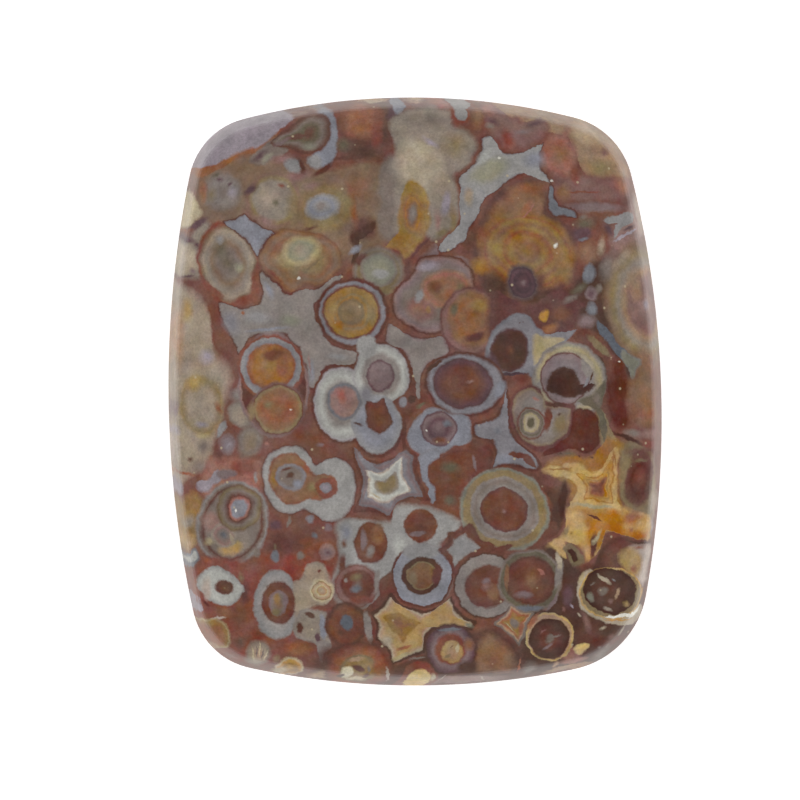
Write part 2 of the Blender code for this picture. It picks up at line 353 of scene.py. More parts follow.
TOP_RIGHT = (
    ("void", "fallow", 0.7, ((4.5, 18.2), (8, 17.7), (11, 16.8), (13, 15), (13.9, 12.8), (12.5, 12.8),
     (10.5, 13), (9.9, 14), (9.4, 15.3), (8.4, 16.2), (7, 16.8), (4, 17.2))),
    ("sand", 0.6, 10.6, 15.6, 1.2, 0.8, -30),
    ("bronze", 0.5, 3.8, 16.8, 0.5, 1),
    ("olive", 0.7, 11.3, 13.6, 1.2, 0.7),
    ("dusk rose", 0.5, 11.6, 14.6, 0.4, 0.4),
    ("void", {0: "jasper", 0.4: "dusk rose"}, 0.25, ((4, 17.5), (5, 17.4), (5.6, 16.9), (6.3, 16.9),
     (6.8, 16.5), (7.9, 16.6), (8.4, 16), (7.9, 15.3), (7, 14.85), (6, 14.6), (5.3, 14.75), (4.9, 15.3),
     (4.4, 15.8), (4.1, 16.4))),
    ("clay", 0.5, 4.6, 17.2, 0.6, 0.5),
    ("plum", 0.4, 4.7, 16.4, 0.6, 0.3, -20),
    ("taupe", 0.3, 4.5, 16.15, 0.45, 0.2),
    ("plum", 0.4, 7.3, 16.3, 0.8, 0.3, 15),
    ("brick", 0.4, 5.7, 15.4, 0.5, 0.8, 15),
    ("mauve", 0.4, 6.6, 15.8, 0.8, 0.25, 5),
    ({0: "bronze", 0.6: "clay", 1: "dusk rose"}, 0.4, 8.75, 14.3, 1.25, 1.6, 8),
    ("clay", 0.4, 9.15, 15.5, 0.3, 0.8, -18),
    ("dusk rose", 0.6, 10.6, 12.3, 3, 0.9),
    ("clay", 0.5, 12.7, 12.5, 0.8, 0.6, -20),
    ("brick", 0.3, 9.7, 13.2, 0.3, 0.8, 15),
    ("brick", 0.2, 10.2, 12.15, 1.3, 0.1, 3),
    ("mauve", 0.5, 10.9, 11.2, 2.1, 0.4),
    ("bronze", 0.4, 9, 12.1, 0.6, 0.7),
    ("void", "rose", 0.6, ((11.6, 9.2), (12.4, 10.6), (13.6, 11.9), (14.6, 10), (14.8, 7.5), (13.2, 7.4),
     (12.2, 8))),
    ("bone", 0.5, 14, 10.6, 0.5, 1.6, 12),
    *(("void", "line", 0.12, piece, 0.14) for piece in SLATE_PIECES),
    *(("void", "slate", 0.15, piece) for piece in SLATE_PIECES),
    ("void", {0: "slate", 0.12: "mist"}, 0.12, ((11.5, 10.5), (12.2, 10.75), (13, 11), (13.35, 10.8),
     (13.2, 10.3), (12.8, 10.15), (12.55, 9.85), (12.3, 9.4), (12.1, 9.35), (12.15, 9.9), (12.3, 10.2),
     (12, 10.35), (11.7, 10.15))),
    ("plum", 0.2, 13.05, 9.95, 0.5, 0.18, 18),
    ("pale lilac", 0.1, 12.85, 9.52, 0.9, 0.12, 27),
    ("plum", 0.3, 11.8, 9.8, 0.3, 0.6, 30),
    ("bronze", 0.7, 10.6, 8.4, 1, 1),
    ("beige", 0.4, 11.35, 8.8, 0.3, 0.8, -10),
    ("taupe", 0.3, 10.2, 10.65, 0.3, 0.25),
    ("dark moss", 0.5, 10.3, 10.2, 0.8, 0.5),
    ({0: "plum", 0.6: "plum", 1: "taupe"}, 0.3, 10.2, 9.55, 0.7, 0.65),
    ("slate", 0.2, 10.3, 9.22, 0.4, 0.15, 10),
)

RIGHT_EDGE = (
    ("void", "umber", 0.6, ((9.2, 6.6), (10.4, 7.8), (11.8, 8.4), (12.4, 6), (12.4, 3), (13.6, 2),
     (13.4, 0.4), (11.6, 0.4), (10.4, 3.2), (9.6, 4.2), (9.2, 5.2))),
    ({0: "lilac", 0.12: "rose", 0.25: "dusk rose", 0.4: "dusk rose", 0.5: "fallow", 0.62: "stone",
     0.74: "olive", 0.86: "fawn", 1: "liver"}, 0.4, 14.1, 5.3, 2.7, 4.1, 9),
    ("fallow", 0.5, 13.4, 6.2, 0.5, 1),
    ("taupe", 0.6, 11.7, 7.6, 0.6, 1.2, -20),
    ("beige", 0.5, 12.6, 8, 0.4, 1, -40),
    ("bronze", 0.6, 13.9, 1.6, 0.9, 1.4),
    ({0: "slate", 0.7: "slate", 1: "plum"}, 0.2, 10.55, 7.1, 0.42, 0.7, -12),
    ("dark moss", 0.4, 9.9, 6.2, 0.9, 0.3, 35),
    ("mauve", 0.2, 10.7, 5.9, 0.52, 0.5),
    ("plum", 0.25, 10.7, 5.9, 0.35, 0.35),
    ("taupe", 0.2, 11.2, 6.2, 0.3, 0.35),
    ("maroon", 0.3, 10, 5.2, 0.5, 0.25),
    ("slate", 0.25, 10.75, 5, 0.4, 0.5, 20),
    ("mauve", 0.4, 10.4, 4.25, 0.75, 0.55),
    ("void", {0: "plum", 0.12: "deep slate", 0.3: "deep slate"}, 0.15, ((11, 4.3), (11.4, 4.05), (12, 3.45),
     (12.5, 2.85), (13, 2.35), (13.1, 1.9), (12.6, 1.8), (12.3, 2.3), (11.7, 3), (11.15, 3.6))),
    ("void", {0: "slate", 0.25: "grey green"}, 0.15, ((12.6, 2.6), (13.1, 2.3), (13.75, 2.05), (13.8, 1.6),
     (13.55, 1.2), (13.4, 0.75), (13.15, 0.8), (13, 1.3), (12.5, 1.8))),
)

GREY_VOIDS = (
    ("void", "line", 0.15, UPPER_VOID, 0.14),
    ("void", "line", 0.15, UPPER_VOID_ARM, 0.14),
    ("void", {0: "pewter", 0.2: "pale grey"}, 0.1, UPPER_VOID),
    ("sage", 0.6, 4.5, 13.4, 1.6, 0.8, 25),
    ("milk", 0.4, 4.2, 14.3, 0.7, 0.4, 50),
    ("void", {0: "blue grey", 0.16: "mist"}, 0.1, UPPER_VOID_ARM),
    ("pale grey", 0.5, 3.5, 12.3, 0.6, 0.7, -20),
    ("blue grey", 0.6, 7.2, 14.1, 0.9, 0.7),
    ("beige", 0.3, 3.3, 11.8, 0.35, 0.7, 10),
    ("white", 0.08, 8.27, 12.78, 0.13, 0.1),
    ("white", 0.08, 5.13, 14.17, 0.12, 0.09),
)

LOWER_RIGHT = (
    # The brown and red edge under the blue-grey diagonal.
    ("void", "wine", 0.5, ((11.5, 0.8), (12.6, 1.2), (13.2, 0.4), (13, -2.2), (12.2, -2.3), (11.5, -1.2),
     (11.4, 0))),
    ("void", {0: "bole", 0.5: "bronze"}, 0.4, ((12.9, 0.9), (14.4, 1), (15.2, -0.5), (15, -2), (13.8, -2.3),
     (12.9, -1.6), (12.8, -0.4))),
    ("terracotta", 0.7, 14, -1.4, 0.8, 0.6),
    ("taupe", 0.4, 13.3, -2.55, 0.8, 0.35, -10),
    ("rose", 0.4, 14.3, -2.6, 0.6, 0.4),
    ("moss", 0.6, 13.2, -3.3, 1.3, 0.5),
    ("brick", 0.3, 14.2, -3.2, 0.6, 0.35, -25),
    ("dark umber", 0.25, 12.9, -2.8, 1.3, 0.18, -22),
    ("void", "olive", 0.5, ((11.2, -0.8), (11.9, -2.2), (12.6, -3.2), (13.2, -3.6), (14.8, -4), (14.8, -8),
     (13.2, -7.4), (12.4, -6), (12.2, -3.8), (11.2, -3.4), (10.8, -1.8))),
    ("beige", 0.5, 14.7, -6.8, 0.5, 1.2),
    ({0: "brick", 0.5: "wine", 0.8: "bole", 1: "moss"}, 0.25, 13.65, -5.35, 0.95, 1.85, -8),
    ("bole", 0.3, 13.7, -3.9, 0.8, 0.45, -5),
    ("moss", 0.25, 13.7, -4.2, 0.6, 0.14, 5),
    ("russet", 0.4, 14.2, -6, 0.3, 0.7, -10),
    ("void", "dark moss", 0.25, ((9.8, -0.6), (10.6, -0.1), (11.3, 0.6), (11.6, 0.8), (11.5, -0.3),
     (11.5, -1.4), (11.8, -2.4), (11.4, -3.2), (11.2, -1.8), (10.6, -1))),
    ("taupe", 0.4, 11.1, -0.5, 0.3, 0.6, 30),
    ("lilac", 0.3, 14.6, -8.2, 0.25, 0.7, 10),
)

GOLDEN_STAR = (
    ("void", "amber", 0.4, ((7.7, -4.6), (8.4, -4), (9.3, -3.6), (10.5, -3.9), (11.3, -3.3), (11.7, -2.6),
     (12.7, -3.1), (12.5, -4.3), (12.6, -6.2), (12.6, -7.2), (10.3, -7.2), (9.4, -6.8), (9.2, -5.8),
     (8.4, -5.3))),
    ("void", {0: "pale gold", 0.45: "gold", 0.8: "flame"}, 0.3, ((9.3, -6.9), (11, -6.7), (12.6, -6.8),
     (13.6, -7.3), (14.5, -7.5), (14.7, -8.4), (14.4, -9.1), (13.4, -8.8), (12.6, -8.7), (11.9, -8.6),
     (11.3, -9), (11, -10), (10.3, -10.5), (10, -9.6), (9.4, -9), (9, -8.4), (9.1, -7.6))),
    ("void", {0: "straw", 0.2: "pale gold"}, 0.25, ((9.2, -7.3), (9.1, -8.2), (8.7, -8.8), (8.1, -9.2),
     (7.85, -9.7), (8.3, -10.1), (8.95, -10.9), (9.2, -10.2), (9, -9.6), (9.3, -9.1), (10, -9.2),
     (10.3, -8.2), (9.8, -7.2))),
    ("pale gold", 0.4, 10, -8.2, 0.6, 1.2, 10),
    ("flame", 0.4, 10.7, -7.9, 0.7, 0.4, -20),
    ("gold", 0.5, 12.9, -8.3, 0.9, 0.35),
    ("terracotta", 0.4, 13.25, -7.6, 0.5, 0.45),
    ("rust", 0.2, 13.2, -8.45, 0.22, 0.16),
    ("pale gold", 0.3, 13.9, -8.2, 0.6, 0.5, 40),
    ("terracotta", 0.2, 8.35, -9.68, 0.2, 0.14),
    ("ochre", 0.2, 9.45, -8.6, 0.16, 0.14),
    ("wine", 0.08, 10.9, -7.65, 0.62, 0.1, -26),
    ("pale gold", 0.25, 8.6, -4.85, 1, 0.42, -2),
    ("pale gold", 0.25, 9.7, -4.75, 0.9, 0.5, -12),
    ("void", {0: "straw", 0.15: "pale gold"}, 0.16, ((9, -4.3), (9.8, -4.5), (10.7, -4.8), (11.3, -4.55),
     (11.85, -3.9), (12.2, -3.25), (12.45, -3.6), (12.35, -4.6), (12.4, -5.8), (12.4, -6.6), (12.7, -7.2),
     (12, -7.15), (11, -7), (10.2, -6.95), (9.3, -7.1), (9.75, -6.4), (9.75, -5.8), (9.4, -5.4),
     (9, -5.2))),
    ("void", {0: "amber", 0.12: "amber", 0.22: "gold"}, 0.12, ((9.7, -4.85), (10.2, -5), (10.8, -5.1),
     (11.35, -4.85), (11.75, -4.3), (12.1, -3.7), (12.1, -4.5), (12.2, -5.1), (12, -5.8), (12.1, -6.5),
     (12.15, -6.85), (11.4, -6.8), (10.8, -6.6), (10.2, -6.65), (10.3, -6.15), (10.2, -5.65),
     (9.95, -5.2))),
    ("void", {0: "ochre", 0.1: "ochre", 0.2: "gold", 0.35: "flame"}, 0.12, ((10.35, -5.25), (10.9, -5.3),
     (11.4, -5.1), (11.8, -4.75), (11.85, -5.2), (11.8, -5.8), (11.8, -6.5), (11.3, -6.55), (10.6, -6.4),
     (10.5, -5.9))),
    ("amber", 0.16, 8.7, -4.72, 0.95, 0.09, 3),
    ("amber", 0.2, 12.15, -4, 0.1, 0.6, 8),
    ("straw", 0.2, 10.9, -6.95, 1.5, 0.14, -4),
    ("void", {0: "amber", 0.2: "rust", 0.4: "cocoa"}, 0.16, ((10.45, -5.5), (11.1, -5.35), (11.7, -5.05),
     (11.6, -5.7), (11.6, -6.35), (11.3, -6.45), (10.6, -6.35), (10.6, -5.9))),
    ("amber", 0.3, 9.2, -4.72, 0.5, 0.12, -20),
    ("dark moss", 0.4, 9.2, -3.75, 0.8, 0.25),
    ("void", {0: "moss", 0.25: "moss"}, 0.15, ((8.85, -9.5), (9.1, -9.15), (9.5, -9.1), (9.85, -9.4),
     (10.1, -9.9), (10.3, -10.5), (9.6, -10.7), (9.3, -10.4), (9.1, -9.9))),
    ("void", "dark umber", 0.12, ((9.15, -9.6), (9.4, -9.45), (9.65, -9.6), (9.85, -10), (9.9, -10.35),
     (9.6, -10.45), (9.4, -10.1))),
    ("wine", 0.2, 10.85, -9.4, 0.22, 1, -6),
    ("straw", 0.2, 11.05, -8.9, 0.16, 0.7, -30),
)

RED_ROOTS = (
    # The cream target and its neighbour, a red blob.
    ("void", "maroon", 0.2, ((6.9, 0.55), (7.6, 0.2), (8, -0.5), (9.4, -0.6), (9.9, -1), (9.4, -2.9),
     (8.8, -3.7), (7.7, -3.8), (6.9, -3.45), (6.2, -2.8), (5.75, -2), (5.6, -1.1), (5.8, -0.3),
     (6.3, 0.3))),
    ("void", {0: "olive", 0.3: "taupe", 0.8: "dove"}, 0.15, ((6.9, 0.33), (7.4, 0.1), (7.8, -0.3),
     (8.05, -0.8), (9.3, -0.9), (9.5, -1.3), (9.4, -2), (9.1, -2.7), (8.5, -3.2), (7.7, -3.35), (6.9, -3.1),
     (6.3, -2.6), (5.95, -1.9), (5.8, -1.1), (5.95, -0.4), (6.4, 0.15))),
    ("moss", 0.4, 8.8, -2, 0.5, 1, -15),
    ("bole", 0.2, 8.05, -1.7, 0.28, 0.95, -5),
    ("umber", 0.15, 8.6, -0.78, 0.8, 0.14, 4),
    ({0: "dark moss", 0.2: "dark moss", 0.34: "cream beige", 0.5: "straw", 0.6: "taupe", 0.7: "dark moss",
     0.78: "taupe", 0.88: "bole", 1: "taupe"}, 0.12, 7.05, -1.9, 0.95, 1),
    ("umber", 0.15, 8.75, -1.33, 0.15, 0.15),
    ("void", {0: "dark umber", 0.25: "wine"}, 0.14, ((9.6, -1.1), (10.2, -1), (10.75, -1.15), (11.15, -1.6),
     (11.3, -2.3), (11.2, -3), (11, -3.5), (10.6, -3.8), (10.1, -3.75), (9.6, -3.4), (9, -3.3), (9.3, -2.4),
     (9.45, -1.6))),
    ("void", "wine", 0.15, ((9.6, -2.6), (9, -2.9), (8.4, -3.35), (7.7, -3.75), (7.8, -3.95), (8.7, -3.75),
     (9.4, -3.5), (9.9, -3.4))),
    ("umber", 0.12, 9.95, -3.9, 0.14, 0.14),
    ("umber", 0.1, 10.7, -4.05, 0.1, 0.1),
    ("umber", 0.1, 8.8, -3.75, 0.1, 0.08),
    ("clay", 0.15, 7.3, -0.4, 0.35, 0.12, -35),
    # The large banded eye and what lies right of it.
    ("void", {0: "cocoa", 0.5: "umber"}, 0.2, ((7.7, -5.75), (8.4, -5.7), (9, -5.55), (9.5, -5.9),
     (9.4, -6.5), (9.15, -7.2), (9.1, -7.9), (8.75, -8.6), (8.2, -8.9), (8, -7.6), (8.1, -6.6))),
    ("void", "bole", 0.2, ((8.3, -7.8), (8.7, -8.6), (8, -9.2), (7.6, -9.6), (7, -9.8), (6.8, -9.5),
     (7.2, -9))),
    ("dark umber", 0.25, 9, -6.6, 0.28, 1.4, -4),
    ("olive", 0.2, 9.1, -8.5, 0.2, 0.5, -20),
    ("void", "bole", 0.2, ((2.6, -8), (3.2, -5.9), (4.6, -4.75), (5.8, -4.5), (7.1, -4.9), (7.8, -5.7),
     (7, -7), (5.5, -9), (3.8, -9.2))),
    ({0: "rose", 0.06: "cocoa", 0.42: "cocoa", 0.5: "maroon", 0.53: "dove", 0.64: "taupe", 0.72: "dove",
     0.77: "olive", 0.88: "olive", 0.93: "grey green", 1: "dove"}, 0.12, 5.4, -7.2, 2.85, 2.55, -20),
    ("void", "bole", 0.15, ((3.6, -9.3), (4.6, -9.4), (6, -9.35), (5.5, -9.9), (5.1, -10.3), (4.5, -9.9))),
)

BOTTOM_RIGHT = (
    ("void", "umber", 0.6, ((7.6, -9.2), (9.5, -10.4), (11, -10.2), (11.4, -9.2), (12.6, -8.7),
     (14.8, -9.2), (14.6, -11), (14.2, -14.2), (12, -16.8), (8, -17.6), (6.2, -17.8), (6.6, -13.5))),
    ("russet", 0.6, 10.6, -14.7, 1, 1.2),
    ("wine", 0.5, 11.2, -15.2, 0.7, 0.5),
    ("bole", 0.6, 12.3, -15.2, 0.9, 0.7, 40),
    ("taupe", 0.5, 11.6, -16.1, 1, 0.5, 25),
    ("clay", 0.3, 9.7, -16.45, 1.1, 0.25, 8),
    ("tan", 0.25, 9.7, -17, 1.8, 0.3, 13),
    ("tan", 0.25, 8.6, -16.7, 0.2, 0.4),
    ("dusk rose", 0.4, 10.4, -14, 0.3, 0.9, 20),
    ("clay", 0.3, 9.5, -16, 0.8, 0.5, 20),
    ("void", {0: "straw", 0.2: "primrose"}, 0.1, ((9.6, -15.6), (10, -15.35), (10.6, -15.4), (10.35, -15.8),
     (10, -16.15), (9.7, -16))),
    ("cream beige", 0.2, 11.5, -14.4, 0.28, 0.16, 25),
    ("dusk rose", 0.2, 12, -14.9, 0.3, 0.2, 40),
    ("beige", 0.15, 12.7, -14.6, 0.14, 0.4, -15),
    ("taupe", 0.25, 11.9, -15.6, 0.3, 0.25),
    ("taupe", 0.2, 11.2, -15.6, 0.18, 0.15),
    ("void", {0: "umber", 0.4: "bole"}, 0.2, ((11.2, -9.6), (11.9, -8.95), (12.7, -8.8), (13.5, -9),
     (14.6, -9.2), (14.2, -10.8), (13.9, -12), (13.2, -12.3), (11.6, -10.9), (11.3, -10.4))),
    ("void", {0: "rose", 0.5: "bone"}, 0.3, ((13, -9.3), (14.7, -9.3), (14.6, -11), (14.3, -12),
     (13.6, -11.9), (13.2, -11.4))),
    ("void", {0: "bronze", 0.3: "honey"}, 0.3, ((12.3, -10.3), (12.4, -9.8), (12.9, -9.4), (13.6, -9.5),
     (14, -10.2), (13.9, -11), (13.4, -11.4), (12.7, -11))),
    ("terracotta", 0.3, 13.35, -10.85, 0.3, 0.35),
    ("terracotta", 0.3, 13.6, -9.45, 0.4, 0.15, 10),
    ("umber", 0.1, 13.7, -9.15, 0.9, 0.08, -4),
    ("void", "gold", 0.15, ((13.2, -12), (13.6, -11.9), (14.2, -12), (14, -12.9), (13.6, -12.7))),
    # The mottled eye in its cream crescent, and the plum eye in its cream ring.
    ("void", "cream beige", 0.12, ((10.9, -10.85), (10.2, -10.9), (9.85, -11.4), (9.75, -11.9),
     (9.85, -12.6), (10.2, -13.3), (10.8, -13.8), (11.6, -14.15), (12.6, -14.3), (13.6, -14.4),
     (14.2, -13.8), (13.9, -13.1), (12.8, -12.8), (11.6, -12.4))),
    ({0: "olive", 0.9: "olive", 0.94: "pale gold", 1: "gold"}, 0.06, 11.95, -12.3, 2.05, 1.6, -8),
    ("straw", 0.2, 10.05, -11.3, 0.2, 0.5, -25),
    ("white", 0.06, 12.6, -13.66, 1.2, 0.1, 3),
    ("gold", 0.08, 12.4, -13.9, 1.2, 0.05, 2),
    ("white", 0.08, 13.5, -13.5, 0.5, 0.16, 35),
    ({0: "bole", 0.7: "umber", 0.94: "dark umber", 1: "dark umber"}, 0.06, 11.85, -12.15, 1.7, 1.4, -18),
    ("taupe", 0.2, 11.4, -12.1, 0.4, 0.3, 30),
    ("grey green", 0.15, 10.65, -12.5, 0.22, 0.4, 25),
    ("cream beige", 0.12, 11.5, -11.4, 0.6, 0.14, -35),
    ("stone", 0.12, 11.7, -13.2, 0.35, 0.16, -10),
    ("tan", 0.12, 12.35, -12.3, 0.14, 0.4, -25),
    ("honey", 0.25, 12.85, -13, 0.3, 0.25),
    ("dusk rose", 0.15, 11.9, -12.7, 0.25, 0.18),
    ("mist", 0.12, 12.1, -11.45, 0.22, 0.1, -20),
    ("taupe", 0.12, 10.8, -11.7, 0.25, 0.1, 40),
    ({0: "tan", 0.88: "tan", 0.92: "pale gold", 1: "straw"}, 0.05, 8.2, -14.95, 1.5, 1.55),
    ("terracotta", 0.2, 7.15, -14, 0.22, 0.7, -35),
    ({0: "taupe", 0.3: "bole", 0.75: "umber", 1: "dark umber"}, 0.08, 8.2, -15.05, 1.28, 1.3),
    ("void", "umber", 0.3, ((6.9, -15.2), (7.4, -16.3), (8.4, -16.4), (9, -16.2), (8.4, -15.9),
     (7.4, -15.5))),
    ("mauve", 0.15, 8.1, -15.5, 0.5, 0.12, 30),
    ("taupe", 0.12, 8.5, -14.9, 0.5, 0.08, 15),
    ("taupe", 0.1, 8.25, -15, 0.25, 0.3),
    ("dusk rose", 0.12, 7.8, -14.6, 0.3, 0.08, 35),
    ("pale lilac", 0.08, 9.55, -12.97, 0.2, 0.1, -45),
    ("dusk rose", 0.15, 9.05, -13.2, 0.16, 0.2),
    ("cream beige", 0.1, 9.97, -13.6, 0.1, 0.22, 25),
    ("plum", 0.4, 9.3, -12.4, 0.4, 0.9),
    ("terracotta", 0.2, 8, -13.2, 0.4, 0.12, 30),
)

LOWER_MIDDLE = (
    # The pale bed between the roots, and the dark rim of each halo in it.
    ("void", {0: "taupe", 0.5: "pale grey"}, 0.3, ((-4.6, -7.6), (-1.6, -7.8), (-1.2, -6.8), (1, -6.9),
     (3, -7.9), (2.2, -8.6), (1.6, -9.6), (2.4, -11.4), (1.9, -12.6), (0.5, -13.1), (-1, -12.5),
     (-1.6, -11), (-2.6, -13), (-4.6, -13.2), (-5.2, -11.4), (-4.7, -10.2), (-4.9, -9))),
    ("blue grey", 0.5, -4.2, -8.5, 0.5, 0.7),
    ("milk", 0.5, -0.9, -9.6, 0.5, 1.3, 10),
    ("bole", 0.25, -4.3, -9.2, 0.3, 0.35),
    ("bole", 0.25, -4.4, -10.5, 0.25, 0.8, -10),
    ({0: "mist", 0.88: "blue grey", 0.9: "line", 1: "umber"}, 0.12, 0.45, -11.2, 1.95, 2.05),
    ("mist", 0.25, 0.4, -9.7, 1.4, 0.6),
    ({0: "saddle", 0.6: "saddle", 0.68: "moss", 0.74: "umber", 1: "umber"}, 0.1, 0.42, -11.2, 1.25, 1.2),
    ("moss", 0.3, -0.1, -11.3, 0.35, 0.6),
    ("maroon", 0.2, 1.3, -11.1, 0.35, 0.7),
    ({0: "bole", 0.9: "cocoa", 1: "line"}, 0.12, 0.35, -8.15, 1.03, 1.1),
    ("mauve", 0.15, 0.15, -8.65, 0.6, 0.22, 5),
    ({0: "cocoa", 0.8: "cocoa", 1: "line"}, 0.12, -2.7, -9.2, 1.08, 1.32),
    ("bronze", 0.3, -2.3, -8.7, 0.5, 0.8),
    ("mauve", 0.2, -3.15, -9, 0.25, 0.8),
    ("dove", 0.25, -2.75, -9.75, 0.3, 0.45),
    ({0: "rose", 0.82: "dusk rose", 0.88: "bole", 1: "bole"}, 0.2, -3.6, -11.8, 1.45, 1.45),
    ("dove", 0.2, -2.35, -11.6, 0.2, 0.9, -8),
    ({0: "taupe", 0.35: "bole", 0.75: "bole", 1: "line"}, 0.15, -3.5, -11.75, 1.1, 1.05),
    ("moss", 0.3, -3.55, -11.3, 0.5, 0.35),
    ("smoke", 0.25, -3.6, -12, 0.45, 0.3),
    ("brick", 0.3, -3.3, -12.6, 0.9, 0.3),
    ("dove", 0.12, -4.2, -11.45, 0.16, 0.2),
    ("void", {0: "umber", 0.3: "bole"}, 0.2, ((-1.45, -10.85), (-1.2, -11.5), (-1.05, -12.1), (-1.5, -12.5),
     (-2, -13.1), (-2.8, -13.6), (-3, -13.2), (-2.4, -12.5), (-2.2, -11.5))),
    # The star with its pale middle and the brown root right of it.
    ("star", {0: "line", 0.3: "bole"}, 0.14, ((1.25, -9.65), (1.9, -9.2), (1.9, -8.5), (2.8, -8.35),
     (3.25, -7.9), (3.65, -8.2), (4, -8.9), (4.9, -9.3), (4.8, -9.8), (3.9, -9.9), (3.2, -10.4),
     (2.4, -11.3), (2, -10.5))),
    ("star", {0: "dove", 0.3: "mist"}, 0.14, ((3.05, -8.5), (3.45, -8.9), (4, -9.4), (3.4, -9.8),
     (2.8, -10.3), (2.35, -10.75), (2.15, -10.1), (1.75, -9.65), (2.15, -9.35), (2.25, -8.9))),
    ({0: "dove", 0.9: "dove", 0.94: "umber", 1: "umber"}, 0.12, 4.35, -11.8, 2.05, 2.05),
    ({0: "rose", 0.3: "cocoa", 0.8: "bole", 1: "maroon"}, 0.14, 4.4, -11.85, 1.45, 1.42),
    ("bronze", 0.3, 4.8, -12.2, 0.5, 0.6),
    ("mauve", 0.2, 4.3, -11.5, 0.35, 0.25),
    # The large dark root in the lower right, with its olive halo.
    ({0: "dove", 0.86: "dark moss", 0.92: "taupe", 1: "plum"}, 0.14, 7, -11.5, 2.05, 2),
    ("dove", 0.2, 8.75, -11.2, 0.3, 1, -12),
    ("cream beige", 0.14, 8.75, -10.3, 0.2, 0.7, 15),
    ({0: "bronze", 0.3: "cocoa", 0.8: "bole", 1: "umber"}, 0.15, 7, -11.5, 1.62, 1.6),
    ("mauve", 0.3, 6.6, -12.4, 0.7, 0.3),
    ("clay", 0.08, 7.6, -10.95, 0.32, 0.14, -30),
    ("bronze", 0.15, 5.6, -11.3, 0.2, 0.9),
    ("smoke", 0.25, 6.9, -13.2, 1.2, 0.2, -4),
    ("mauve", 0.12, 8.35, -12.85, 0.14, 0.7, -38),
    # The small orange star.
    ("star", "taupe", 0.1, ((5.85, -12.95), (6.4, -13.3), (7.25, -13.5), (6.8, -14.1), (6.65, -14.9),
     (6.3, -15.45), (5.9, -15), (5.4, -14.55), (4.8, -14.1), (5.4, -13.6)), 0.08),
    ("star", {0: "straw", 0.12: "tan", 0.25: "terracotta", 0.5: "ochre"}, 0.1, ((5.85, -13), (6.4, -13.35),
     (7.1, -13.5), (6.7, -14.1), (6.55, -14.8), (6.3, -15.3), (5.95, -15), (5.4, -14.5), (4.9, -14.1),
     (5.4, -13.65))),
    ("taupe", 0.15, 6, -14.1, 0.3, 0.4, 30),
    ("straw", 0.06, 5.75, -14.35, 0.45, 0.05, -45),
    ("terracotta", 0.15, 6.45, -14.4, 0.2, 0.45, -10),
)

